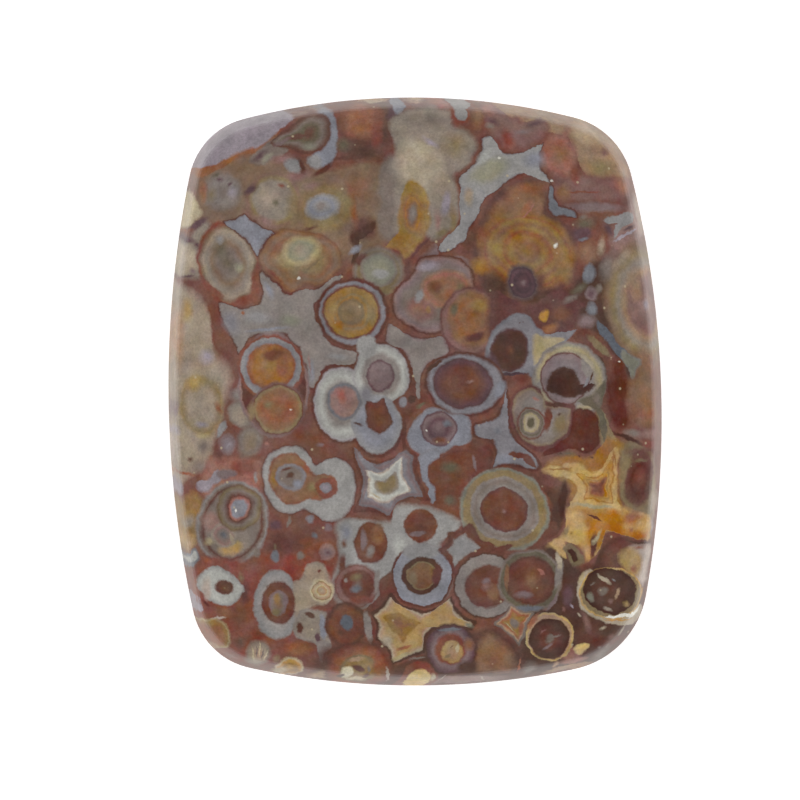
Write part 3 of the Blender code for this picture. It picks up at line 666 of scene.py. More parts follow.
BOTTOM_MIDDLE = (
    ("void", "russet", 0.6, ((-6.2, -16.4), (-5.2, -15.2), (-2.4, -14.9), (-1.3, -16.2), (-0.6, -18.4),
     (-6, -18.4))),
    ("void", "russet", 0.6, ((-1.6, -17), (0.6, -15.8), (1, -14.8), (2.2, -14), (3.6, -14.4), (5.2, -14.4),
     (6.8, -16), (6.4, -18.4), (-1, -18.4))),
    ("void", {0: "cocoa", 0.5: "bronze"}, 0.5, ((3.6, -15.4), (4.4, -14.5), (5.2, -14.9), (6.2, -16),
     (6, -17.2), (4.4, -17.4), (3.4, -17))),
    ("taupe", 0.4, 7, -16.9, 0.6, 0.6),
    ("rose", 0.4, 3, -17.7, 3.2, 0.4, 2),
    ("tan", 0.4, -5.2, -17.4, 1.2, 0.5),
    # The cream and ochre star.
    ("star", "umber", 0.12, ((-1.4, -12.2), (-1, -12.8), (-0.3, -13.2), (0.5, -13.4), (1.4, -13.15),
     (2.15, -12.4), (2.4, -13), (3, -13.7), (3.9, -14), (3.4, -14.6), (2.6, -14.15), (1.9, -14.1),
     (1.2, -14.4), (0.7, -15), (0.5, -15.9), (-0.3, -16.2), (-1.35, -16.6), (-1.5, -16), (-2, -15.4),
     (-2.5, -15), (-2.25, -14.3), (-2.7, -13.5), (-2, -13)), 0.1),
    ("star", {0: "taupe", 0.12: "cream beige", 0.3: "tan", 0.55: "honey"}, 0.14, ((-1.4, -12.3),
     (-1, -12.9), (-0.3, -13.3), (0.5, -13.5), (1.4, -13.25), (2.1, -12.5), (2.35, -13.1), (2.9, -13.8),
     (3.7, -14.05), (3.3, -14.5), (2.6, -14.05), (1.9, -14), (1.1, -14.3), (0.6, -14.9), (0.4, -15.8),
     (-0.3, -16.1), (-1.3, -16.5), (-1.45, -15.9), (-2, -15.3), (-2.4, -15), (-2.15, -14.3), (-2.5, -13.6),
     (-1.9, -13.1))),
    ("void", "honey", 0.25, ((1.3, -13.7), (2.1, -12.9), (2.5, -13.6), (3.1, -14), (2.2, -13.95))),
    ("star", {0: "honey", 0.12: "ochre", 0.4: "ochre", 0.8: "bronze"}, 0.14, ((-1.1, -13.3), (-0.4, -13.75),
     (0.4, -14), (-0.1, -14.5), (-0.5, -15), (-0.75, -15.4), (-1.1, -14.9), (-1.5, -14.6), (-2, -13.6))),
    ("cream beige", 0.3, -1.75, -15.1, 0.5, 0.45),
    ("terracotta", 0.15, -0.7, -15.6, 0.6, 0.14, 12),
    ("straw", 0.15, -0.8, -16.1, 0.7, 0.14, 20),
    ("grey green", 0.2, 3.3, -14.25, 0.4, 0.2, -20),
    # The plum eye with its blue-grey pupil.
    ({0: "bole", 0.7: "cocoa", 0.85: "russet", 1: "line"}, 0.15, -4.2, -14.15, 1.35, 1.5),
    ("dove", 0.2, -2.85, -14.3, 0.3, 1.1, 10),
    ("bole", 0.15, -2.55, -14.4, 0.12, 1, 5),
    ("deep slate", 0.14, -4.15, -14, 0.4, 0.56),
    ("russet", 0.3, -4.5, -14.7, 0.4, 0.25),
    # The brown eye at the bottom edge, with a broken white and dark middle.
    ({0: "olive", 0.35: "ochre", 0.5: "moss", 0.6: "rust", 0.8: "brick", 1: "umber"}, 0.2, -3.4, -17, 2.15,
     1.75),
    ("rust", 0.4, -2.2, -16.9, 0.5, 0.8),
    ("tan", 0.2, -3.6, -16.35, 0.6, 0.2, 10),
    ("pale cream", 0.15, -4.15, -17.15, 0.42, 0.4, -30),
    ("cream", 0.2, -3.4, -17.6, 0.8, 0.25),
    ("maroon", 0.12, -3.5, -16.9, 0.5, 0.2, -20),
    ("umber", 0.12, -4.4, -17.4, 0.25, 0.2),
    ("russet", 0.15, -2.9, -17.35, 0.3, 0.25),
    ("bone", 0.12, -1.65, -17.3, 0.12, 0.6, 8),
    ("taupe", 0.15, -2.8, -16.95, 0.14, 0.3),
    ({0: "primrose", 0.5: "primrose", 0.62: "brick", 1: "brick"}, 0.14, 0.3, -17.6, 1.25, 1.2),
    ("cream", 0.15, 1.15, -17.4, 0.2, 0.35, 20),
    ("taupe", 0.1, 0.1, -16.25, 0.6, 0.08, 10),
    ("white", 0.08, 0.92, -16.52, 0.12, 0.06, -30),
    ("bone", 0.08, 1.8, -17.5, 0.4, 0.06, 55),
    ("bone", 0.08, 4.3, -17.6, 0.3, 0.1, -30),
    # The tan coin in its rust and plum rings.
    ({0: "cocoa", 0.5: "brick", 0.62: "mauve", 0.82: "plum", 0.92: "umber", 1: "umber"}, 0.15, 2.15, -15.7,
     1.7, 1.65),
    ("slate", 0.14, 2.1, -14.5, 0.8, 0.14),
    ("umber", 0.3, 3.2, -16.7, 0.8, 0.45, 10),
    ("bronze", 0.3, 3.3, -15.4, 0.4, 0.5),
    ({0: "tan", 0.8: "honey", 1: "bronze"}, 0.08, 2.25, -15.85, 0.74, 0.72),
    ("olive", 0.1, 1.95, -16.1, 0.3, 0.16, 20),
    ("cream", 0.08, 2.6, -15.7, 0.14, 0.35, -20),
    ("bronze", 0.08, 2.3, -15.6, 0.2, 0.06, 40),
    ("terracotta", 0.08, 6.3, -16.7, 0.08, 0.5, -10),
)

BOTTOM_LEFT = (
    ("void", "brick", 0.5, ((-13.8, -11.2), (-13.2, -10), (-12.2, -9.9), (-10.2, -10), (-9.2, -9.6),
     (-7, -9.4), (-5, -9), (-4.6, -10.8), (-6.6, -13), (-8, -16.4), (-11, -16.9), (-13.6, -14.6),
     (-14.3, -12.6))),
    ("cocoa", 0.5, -10.7, -13.6, 0.8, 0.9),
    ("bronze", 0.5, -11.6, -13.5, 0.7, 0.5),
    ("maroon", 0.4, -10.4, -12.2, 0.4, 0.9),
    ("terracotta", 0.3, -12.6, -10.3, 0.6, 0.3, -20),
    ("maroon", 0.3, -9, -14.5, 0.4, 0.4),
    ("moss", 0.4, -10.6, -11.3, 0.3, 0.4),
    ("bole", 0.5, -7.8, -9.2, 1.4, 0.9),
    ("taupe", 0.15, -9.65, -9.8, 0.25, 0.4),
    ("slate", 0.15, -8.5, -10, 0.34, 0.4, 25),
    ("taupe", 0.15, -6.95, -10, 0.28, 0.34, -20),
    ("moss", 0.15, -8.5, -9.5, 0.14, 0.25, 20),
    ("plum", 0.3, -8.5, -8.1, 0.5, 0.45),
    ("taupe", 0.12, -7.7, -7.9, 0.12, 0.4, -15),
    ("smoke", 0.2, -6.1, -8.75, 0.25, 0.25),
    ("brick", 0.25, -6.6, -9.1, 0.6, 0.35),
    ({0: "plum", 0.3: "mauve", 0.8: "rose", 1: "line"}, 0.15, -5.35, -9.8, 0.6, 0.6),
    ("mauve", 0.2, -5.2, -8.3, 0.35, 0.35),
    # The white wedge and the pale egg.
    ("void", "slate", 0.15, ((-13.3, -9.5), (-13.1, -10.2), (-13.5, -10.7), (-14, -10.95), (-14.3, -10.4),
     (-13.8, -9.9))),
    ("void", "milk", 0.15, ((-13.35, -9.7), (-13.2, -10.1), (-13.5, -10.4), (-14, -10.6), (-14.2, -10.4),
     (-13.8, -10.1))),
    ("void", {0: "mist", 0.35: "milk"}, 0.12, ((-13.3, -11.3), (-12.7, -10.8), (-11.9, -10.65),
     (-11.2, -11), (-10.7, -11.5), (-10.35, -12), (-10.6, -12.4), (-11, -12.9), (-11.6, -13.15),
     (-12.3, -12.9), (-12.9, -12.4), (-13.3, -11.9))),
    ({0: "olive", 0.2: "cocoa", 0.7: "line", 1: "rose"}, 0.12, -11.6, -11.9, 0.6, 0.5, -10),
    ("bone", 0.3, -12.7, -12, 0.4, 0.8),
    ("brick", 0.3, -13.5, -11.4, 0.3, 0.7),
    ("void", "lilac", 0.15, ((-13.7, -12.3), (-13.3, -12.4), (-13, -13), (-12.95, -13.5), (-13.3, -13.4))),
    ("wine", 0.15, -12.8, -12.85, 0.35, 0.14, -35),
    ("bone", 0.12, -12, -13.85, 0.6, 0.12, 5),
    # The brown eye in its long pale halo.
    ({0: "bone", 0.88: "mist", 1: "dove"}, 0.12, -8.4, -12.95, 1.5, 2.2),
    ("void", {0: "stone", 0.4: "beige"}, 0.15, ((-7.4, -11.6), (-7, -11.3), (-6.6, -10.6), (-6, -10.3),
     (-5.4, -10.6), (-5.1, -11.2), (-4.9, -12), (-5.2, -12.8), (-5.9, -13.1), (-6.6, -13.4), (-7.2, -14),
     (-7.6, -13))),
    ("void", {0: "dove", 0.4: "stone"}, 0.15, ((-7.5, -14.6), (-7, -13.3), (-6, -13.2), (-5.4, -13.4),
     (-5.3, -14.4), (-5.1, -15.4), (-5.9, -15.5), (-6.3, -15.3), (-6.9, -15.2))),
    ("void", "dove", 0.15, ((-6.1, -15.1), (-5.1, -15.3), (-5.3, -16.1), (-5.55, -16.9), (-5.8, -16.3))),
    ("blue grey", 0.15, -5.6, -14.3, 0.25, 0.9, 5),
    ({0: "bronze", 0.35: "taupe", 0.5: "mauve", 0.6: "cocoa", 0.85: "bole", 1: "line"}, 0.14, -8.3, -12.85,
     1.12, 1.4),
    ("ochre", 0.2, -8.4, -12.6, 0.28, 0.4),
    ("moss", 0.2, -8.4, -13.4, 0.4, 0.3),
    ("mauve", 0.2, -7.85, -12.7, 0.2, 0.5),
    ({0: "cream beige", 0.3: "tan", 0.36: "honey", 0.44: "cream", 0.66: "tan", 0.72: "olive", 0.8: "cream",
     0.92: "cream beige", 1: "olive"}, 0.06, -5.68, -12.1, 0.8, 0.8),
    ("bole", 0.12, -5.75, -10.95, 0.2, 0.12),
    ("russet", 0.12, -6.4, -13.6, 0.42, 0.2, -25),
    ("line", 0.12, -7, -14.4, 0.25, 0.36, 10),
    ("plum", 0.12, -5.92, -14.95, 0.22, 0.32),
    ("brick", 0.2, -5.3, -13.2, 0.6, 0.14, 10),
    # The orange eyes and the fibrous one at the bottom edge.
    ({0: "rust", 0.6: "rust", 0.8: "ochre", 0.9: "straw", 1: "line"}, 0.15, -12.4, -15, 1.2, 1.2, -30),
    ("ochre", 0.3, -12.3, -14.2, 0.6, 0.3),
    ("tan", 0.3, -12.1, -15.7, 0.35, 0.5, 40),
    ("liver", 0.4, -10.7, -15.3, 0.5, 0.5),
    ("rose", 0.3, -10.9, -16.3, 0.5, 0.2, -15),
    ({0: "tan", 0.5: "beige", 0.85: "taupe", 1: "bronze"}, 0.25, -9.55, -16, 0.85, 1),
    ("cream", 0.1, -9.9, -16, 0.07, 0.55, 12),
    ("cream", 0.1, -9.5, -15.7, 0.07, 0.6, -4),
    ("taupe", 0.1, -9.7, -15.8, 0.07, 0.5, 5),
    ("taupe", 0.1, -9.3, -16, 0.07, 0.5, -14),
    ("cream", 0.1, -9.1, -16.1, 0.07, 0.5, -20),
    ("rust", 0.5, -7.2, -15.7, 1.1, 0.6),
    ({0: "gold", 0.4: "ochre", 0.7: "gold", 0.85: "cream", 1: "bronze"}, 0.14, -7.6, -16.9, 0.9, 0.75),
    ("cream", 0.25, -8, -17.2, 0.6, 0.35),
    ("olive", 0.3, -8.5, -16.3, 0.25, 0.35),
)

LEFT_MIDDLE = (
    # The beige mass at the left edge and the pale discs beside it.
    ("void", {0: "rose", 0.8: "beige"}, 0.5, ((-15.4, 6.2), (-13.6, 6.3), (-12.8, 5.6), (-12.35, 4.6),
     (-12.3, 3.4), (-12, 2.6), (-11.2, 1.8), (-11, 0.6), (-11.4, -1), (-12, -3), (-12.6, -4.6),
     (-13.4, -5.2), (-15.4, -5.4))),
    ("tan", 0.6, -14.4, 3.2, 0.5, 2.4),
    ("honey", 0.5, -13.9, 4.9, 0.5, 0.9),
    ("pale lilac", 0.5, -12.7, 2.1, 0.6, 0.6),
    ("olive", 0.6, -12.6, 0.3, 1, 0.6),
    ({0: "stone", 0.5: "beige", 0.8: "olive", 0.92: "honey", 1: "beige"}, 0.3, -13, -0.9, 1.5, 2, 10),
    ("honey", 0.5, -13.4, 0.5, 0.8, 0.6, 30),
    ("lilac", 0.3, -13, -2, 0.5, 0.25),
    ("straw", 0.3, -13, -2.65, 0.6, 0.2, 5),
    ("mist", 0.15, -11.75, -2.3, 0.22, 0.6, -25),
    ("rust", 0.3, -11.9, -1, 0.25, 0.6, 30),
    ("mauve", 0.4, -14.6, -1.2, 0.25, 0.9, -5),
    ("lilac", 0.4, -14.6, -2.4, 0.4, 0.4),
    ("bone", 0.4, -14.6, -3.6, 0.4, 0.9),
    ("line", 0.2, -13.75, -4.15, 0.25, 0.18),
    ("taupe", 0.4, -12.8, -3.3, 0.6, 0.5),
    ("taupe", 0.5, -13.2, -4.6, 0.8, 0.5),
    ("clay", 0.4, -12.3, -4.3, 0.5, 0.5),
    ("terracotta", 0.3, -14, -5, 0.8, 0.16, -8),
    # The brick ground with its lilac bone and ovals.
    ("void", "clay", 0.5, ((-13, -4.8), (-11.8, -3.9), (-9.6, -4), (-9.2, -4.6), (-9.4, -6.4),
     (-10.4, -5.8), (-12.2, -6.2), (-12.8, -7.2), (-13, -6))),
    ("brick", 0.4, -10.4, -4.6, 1.2, 0.5),
    ("void", {0: "mauve", 0.25: "lilac"}, 0.2, ((-13.3, -5.6), (-12.7, -5.4), (-12.2, -4.9), (-11.9, -4.75),
     (-11.7, -5.3), (-12.1, -5.7), (-12.6, -6.2), (-13.2, -6.1))),
    ("void", "mauve", 0.2, ((-12.2, -5), (-11.3, -4.65), (-10.75, -4.9), (-11.1, -5.2), (-11.7, -5.45))),
    ("mist", 0.2, -9.75, -5.2, 0.15, 0.4, -5),
    ("lilac", 0.25, -14.45, -5.8, 0.38, 0.7, 12),
    ("void", {0: "tan", 0.4: "ochre"}, 0.4, ((-14.2, -6.4), (-13.5, -5.9), (-12.9, -6.4), (-12.7, -7.2),
     (-13, -8), (-13.2, -9.4), (-14.2, -10.1), (-15.2, -9), (-15.2, -7))),
    ("stone", 0.4, -13.7, -7.9, 0.5, 0.5),
    ("honey", 0.4, -13.7, -9.1, 0.5, 0.6),
    ({0: "lilac", 0.6: "mauve", 1: "rose"}, 0.2, -11.4, -3.2, 0.58, 0.72),
    ({0: "olive", 0.6: "taupe", 1: "moss"}, 0.35, -10.05, -3, 0.85, 1.2, -15),
    ({0: "beige", 0.6: "stone", 0.85: "taupe", 1: "smoke"}, 0.2, -10.5, -1.35, 0.95, 0.95),
    ("dove", 0.5, -10.6, -0.2, 0.9, 0.5),
    ("line", 0.3, -9.8, -0.6, 0.35, 0.12),
    # The two cells in one pink and olive ring.
    ({0: "stone", 0.72: "taupe", 0.8: "line", 0.88: "taupe", 0.94: "mist", 1: "line"}, 0.2, -11.1, -8, 2.25,
     2.7, -15),
    ("rose", 0.4, -12.4, -7.9, 0.7, 0.8),
    ("honey", 0.35, -11.2, -9.5, 0.9, 0.5, 12),
    ("straw", 0.3, -12.5, -9.1, 0.35, 0.35, -40),
    ({0: "deep slate", 0.35: "taupe", 0.6: "rose", 0.8: "stone", 1: "mauve"}, 0.18, -11.65, -8.75, 0.9,
     0.85, -40),
    ("beige", 0.1, -11.15, -8.9, 0.14, 0.5, 15),
    ({0: "pewter", 0.3: "blue grey", 0.42: "clay", 0.5: "line", 0.7: "taupe", 0.85: "moss", 1: "line"},
     0.14, -10.7, -7.1, 1.45, 1.45),
    ("white", 0.06, -10.85, -7.2, 0.1, 0.1),
)

BLUE_STAR_OUTLINE = (
    (-11.75, 10.3), (-10.9, 10.55), (-10.4, 10.85), (-9.9, 10.4), (-9.2, 9.85), (-8.5, 9.6), (-9.1, 9.2),
    (-9.4, 8.7), (-9.6, 8.15), (-10, 8.9), (-10.6, 9.5),
)
LEFT_STAR_ARMS = (
    ((-9.3, 7.3), (-8.3, 6.5), (-7.9, 6), (-7.5, 5.85), (-7, 5.4), (-7.4, 3.6), (-8.5, 3.5), (-9.6, 3.6),
     (-9.5, 5.2), (-9.3, 6)),
    ((-11.9, 5.5), (-10.5, 5), (-9.3, 5.3), (-8.6, 4.4), (-9.2, 3.6), (-10, 3.3), (-10.5, 2.6),
     (-10.75, 2.2), (-11, 3), (-11.65, 4.2)),
    ((-7.2, 6), (-6.2, 6.2), (-5.7, 6.4), (-4.6, 7.1), (-4.5, 6.8), (-5.3, 6.1), (-5.9, 5.4), (-6.9, 5)),
    ((-7.6, 5.8), (-7, 6.1), (-6.3, 5.9), (-6.1, 5), (-6, 4.2), (-5.5, 3.5), (-6.6, 2.6), (-7.6, 3.2),
     (-8, 4.6)),
)

LEFT_STAR = (
    ("star", "line", 0.12, BLUE_STAR_OUTLINE, 0.13),
    ("star", {0: "pewter", 0.3: "blue grey"}, 0.12, BLUE_STAR_OUTLINE),
    *(("void", "line", 0.12, arm, grow) for arm, grow in zip(LEFT_STAR_ARMS, (0.15, 0.12, 0.12, 0.12))),
    ("void", "line", 0.12, ((-6.4, 3.6), (-5.6, 3.4), (-5.1, 2.9), (-4.5, 2.6), (-3.45, 2.45), (-3.75, 1.5),
     (-4.8, 1.55), (-5.5, 1.3), (-6, 0.8), (-6.2, 0.2), (-6.6, 0.5), (-6.6, 1.5), (-7, 2.4)), 0.14),
    *(("void", "dove", 0.12, arm) for arm in LEFT_STAR_ARMS),
    ("void", "dove", 0.12, ((-6.4, 3.6), (-5.6, 3.4), (-5.1, 2.9), (-4.5, 2.6), (-3.5, 2.4), (-3.75, 1.6),
     (-4.8, 1.65), (-5.5, 1.35), (-6, 0.8), (-6.2, 0.2), (-6.6, 0.5), (-6.6, 1.5), (-7, 2.4))),
    ("pewter", 0.5, -11.2, 4.2, 0.6, 1, 20),
    ("mist", 0.5, -9.6, 4.5, 1.1, 0.5),
    ("blue grey", 0.4, -8.9, 6.2, 0.3, 0.8, 20),
    ("grey green", 0.5, -7.6, 4.3, 0.9, 0.5),
    ("blue grey", 0.3, -9, 3.75, 1.6, 0.14, 4),
    ("blue grey", 0.4, -5.4, 5.9, 0.9, 0.18, 50),
    ("blue grey", 0.4, -6.3, 1.2, 0.22, 0.9),
    ("mist", 0.4, -4.7, 2.1, 0.9, 0.25, -5),
    ("rose", 0.3, -6.4, 1.6, 0.08, 0.8, 8),
    ("rust", 0.12, -10.5, 4.75, 0.2, 0.15),
    # The ringed eyes at the left of the middle.
    ({0: "line", 0.86: "line", 0.9: "rose", 0.95: "mauve", 1: "line"}, 0.15, -8.6, 0.4, 2.2, 3.3, 5),
    ({0: "ochre", 0.5: "amber", 0.68: "rust", 0.74: "pewter", 0.86: "mist", 0.9: "brick", 1: "brick"}, 0.15,
     -8.75, 1.5, 2.1, 2),
    ("cocoa", 0.3, -8.5, 2.2, 0.9, 0.5),
    ("rust", 0.3, -8, 1.5, 0.5, 0.9),
    ("amber", 0.3, -9.5, 1, 0.4, 0.7, 25),
    ({0: "bronze", 0.4: "rust", 0.7: "bronze", 0.8: "olive", 0.86: "bole", 0.93: "mauve", 1: "line"}, 0.2,
     -8.3, -1.1, 1.75, 1.75),
    ("moss", 0.3, -8.9, -0.8, 0.4, 0.35),
    ("terracotta", 0.4, -7.7, -1.5, 0.6, 0.5),
    ("olive", 0.3, -9.9, -1.2, 0.3, 0.7, -10),
    ("white", 0.1, -7.55, -1.15, 0.12, 0.09),
    ("clay", 0.2, -9, -3.2, 0.2, 0.15),
    ("cocoa", 0.5, -6.4, -2.9, 1.2, 0.6, -10),
    ("mauve", 0.3, -5.7, -3.2, 0.25, 0.2),
)

CENTRE = (
    # The ochre eye in its grey ring, and the grey-green disc above it.
    ({0: "olive", 0.7: "moss", 0.86: "taupe", 1: "maroon"}, 0.25, -2.2, 7.3, 1.65, 1.6),
    ("void", {0: "maroon", 0.3: "umber"}, 0.25, ((-4.05, 9.6), (-3.6, 10), (-2.9, 10.35), (-2.3, 10.4),
     (-2.4, 9.9), (-3, 9.5), (-3.5, 8.9), (-3.4, 7.8), (-3.9, 7.6), (-3.7, 8.6), (-4, 8.9))),
    ("blue grey", 0.25, -3.6, 8.6, 0.6, 0.25, 35),
    ("maroon", 0.2, -3.2, 8, 0.4, 0.55, -35),
    ({0: "sage", 0.7: "grey green", 0.9: "taupe", 1: "moss"}, 0.15, -2.15, 7.4, 1.18, 1.15),
    ("pale grey", 0.25, -2.1, 7.1, 0.6, 0.4),
    ("moss", 0.3, -2.2, 6.1, 1.3, 0.3, 5),
    ({0: "pewter", 0.84: "pewter", 0.89: "line", 1: "line"}, 0.14, -3.8, 4.75, 2.3, 2.2),
    ({0: "moss", 0.3: "olive", 0.42: "moss", 0.5: "ochre", 0.6: "olive", 0.68: "ochre", 0.84: "ochre",
     0.9: "bole", 1: "bole"}, 0.15, -3.85, 4.8, 1.85, 1.72),
    ("mustard", 0.3, -5, 4.9, 0.3, 0.9, -10),
    ("amber", 0.3, -4.6, 4, 0.5, 0.3, -35),
    ("olive", 0.3, -2.6, 4.6, 0.3, 0.8),
    # The halo of three cores.
    ("line", 0.12, -4.4, -0.8, 1.95, 2.5, 10),
    ("line", 0.12, -2, 1, 1.9, 2.1),
    ("line", 0.12, -2.3, -2, 1.75, 2.05),
    ({0: "dove", 0.5: "dove", 0.72: "milk", 0.9: "pale grey", 1: "pale lilac"}, 0.12, -4.4, -0.8, 1.78,
     2.33, 10),
    ({0: "dove", 0.6: "dove", 0.78: "milk", 0.92: "pale grey", 1: "pale lilac"}, 0.12, -2.05, 1, 1.75,
     1.95),
    ("pale grey", 0.15, -2.9, 2.7, 0.7, 0.8, 25),
    ({0: "pewter", 0.6: "blue grey", 1: "mist"}, 0.12, -2.35, -1.95, 1.58, 1.88),
    ("pewter", 0.4, -3, -0.2, 0.6, 0.7),
    ({0: "rose", 0.7: "rose", 0.85: "smoke", 1: "taupe"}, 0.12, -4.3, -0.6, 1.08, 1.22),
    ("clay", 0.3, -4.45, -0.3, 0.35, 0.6),
    ({0: "mauve", 0.75: "mauve", 0.92: "plum", 1: "taupe"}, 0.1, -2.1, 0.95, 0.87, 1.02),
    ("void", {0: "umber", 0.25: "bole", 0.7: "cocoa"}, 0.12, ((-3.05, -0.6), (-2.4, -0.65), (-1.85, -0.35),
     (-1.7, -0.8), (-1.45, -1.4), (-1.4, -1.9), (-1.7, -2.4), (-2.2, -2.65), (-2.7, -2.4), (-3.05, -1.9),
     (-3.1, -1.3))),
    ("umber", 0.15, -3.4, -2, 0.3, 0.12, -10),
    # The brown knot between three halos.
    ("star", {0: "cocoa", 0.3: "bole"}, 0.12, ((-1.45, -0.6), (-0.8, -0.15), (-0.4, 0.2), (-0.1, 0.9),
     (0.15, 0.4), (0.4, 0.1), (0.95, -0.7), (0.3, -1), (-0.2, -1.5), (-0.55, -2.1), (-0.85, -1.6))),
    ("pewter", 0.12, -0.72, -0.65, 0.28, 0.42),
    ("umber", 0.1, -0.2, -0.5, 0.3, 0.32, 10),
    ("line", 0.12, -0.65, -2.6, 0.14, 1.2),
    ("dark moss", 0.15, 0.35, -0.85, 0.4, 0.14, 20),
)

SMALL_VOID_OUTLINE = (
    (-1.35, 5.7), (-1.2, 4.7), (-0.5, 4), (0.5, 3.6), (1.6, 3.65), (2.4, 4), (3.4, 5.2), (3.5, 6.8),
    (3.2, 7.6), (2.4, 8.1), (1.2, 8.2), (0.2, 7.9), (-0.1, 7.2), (-0.9, 6.4),
)
HALO_VOID_OUTLINE = (
    (-1.5, 4.2), (-0.9, 3.6), (0.3, 3.25), (1.7, 3.35), (2.1, 2.6), (1.7, 2.15), (0.9, 1.7), (0.4, 1),
    (0.1, 0.2), (-0.25, 1.5), (-0.5, 2.1), (-1, 2.7), (-1.8, 3), (-1.75, 3.6),
)

MIDDLE = (
    # The small grey void under the brown eye's halo.
    ("void", "line", 0.12, SMALL_VOID_OUTLINE, 0.16),
    ("void", {0: "rose", 0.3: "mauve", 0.8: "taupe"}, 0.15, SMALL_VOID_OUTLINE),
    ("lilac", 0.4, 0.8, 7.6, 0.9, 0.35, 10),
    ({0: "bronze", 0.6: "dusk rose", 1: "taupe"}, 0.3, 0.4, 5, 1.1, 0.9),
    ({0: "bronze", 0.5: "bronze", 0.75: "clay", 0.9: "olive", 1: "moss"}, 0.3, 1.9, 6.2, 1.7, 1.3),
    ("cocoa", 0.3, 1.2, 6.3, 0.5, 0.5),
    ("rust", 0.3, 2.1, 5.9, 0.5, 0.5),
    ("moss", 0.3, 2.8, 6.1, 0.35, 0.7),
    ("mist", 0.2, 0.3, 5.75, 0.28, 0.5, -20),
    ("ochre", 0.15, 0.8, 5, 0.2, 0.3),
    ("bole", 0.2, 2, 4.8, 0.6, 0.16, 35),
    ("void", "line", 0.12, HALO_VOID_OUTLINE, 0.1),
    ("void", {0: "mauve", 0.3: "dove"}, 0.12, HALO_VOID_OUTLINE),
    ("void", "dove", 0.12, ((-0.2, 1.4), (0.1, 1.5), (0.3, 0.6), (0.35, -0.4), (0.1, -0.5), (0, 0.3))),
    # The red and ochre eye, and the blue-grey streak of the star left of the target.
    ({0: "dusk rose", 0.84: "dusk rose", 0.92: "maroon", 1: "line"}, 0.2, 3.4, 4.3, 2, 2.15),
    ({0: "rust", 0.4: "bronze", 0.6: "rust", 0.85: "bronze", 1: "maroon"}, 0.25, 3.5, 4.4, 1.6, 1.8),
    ("ochre", 0.3, 3.9, 5.2, 0.6, 0.5),
    ("dark moss", 0.25, 2.4, 4.9, 0.3, 0.5),
    ("maroon", 0.25, 3.6, 3.3, 0.8, 0.3, 15),
    ("void", {0: "maroon", 0.3: "maroon"}, 0.4, ((4.3, 5.6), (4.9, 6.2), (6.2, 5.4), (7.4, 5.6), (8.8, 6.3),
     (10.1, 5.5), (10.1, 4.1), (9.2, 3.4), (7.8, 3.2), (6.2, 3.6), (4.6, 2.6), (4.2, 3.8))),
    ("cocoa", 0.4, 8.9, 4.7, 0.9, 0.6),
    ("rust", 0.3, 8.2, 3.8, 0.7, 0.35, 20),
    ("taupe", 0.3, 9.4, 5.6, 0.7, 0.25, 20),
    ("void", {0: "ochre", 0.2: "gold"}, 0.16, ((7.4, 4.5), (7.6, 5), (8.1, 5.1), (8.2, 4.8), (8, 4.3),
     (7.7, 4.2))),
    ("void", "bole", 0.25, ((9.3, 3.3), (10.2, 3.9), (11.3, 3.5), (12.2, 2.4), (12.9, 1.4), (13, 0.2),
     (12, -0.3), (11.7, 0.9), (11.2, 2.2), (10.4, 2.9))),
    ("moss", 0.2, 11.2, 2.8, 1.05, 0.28, -40),
    ("wine", 0.3, 12.4, 1.3, 0.5, 0.8, 20),
    ("white", 0.06, 12.35, 1.77, 0.12, 0.07, 20),
    ("cream beige", 0.06, 11.9, 2.15, 0.08, 0.06, 20),
)

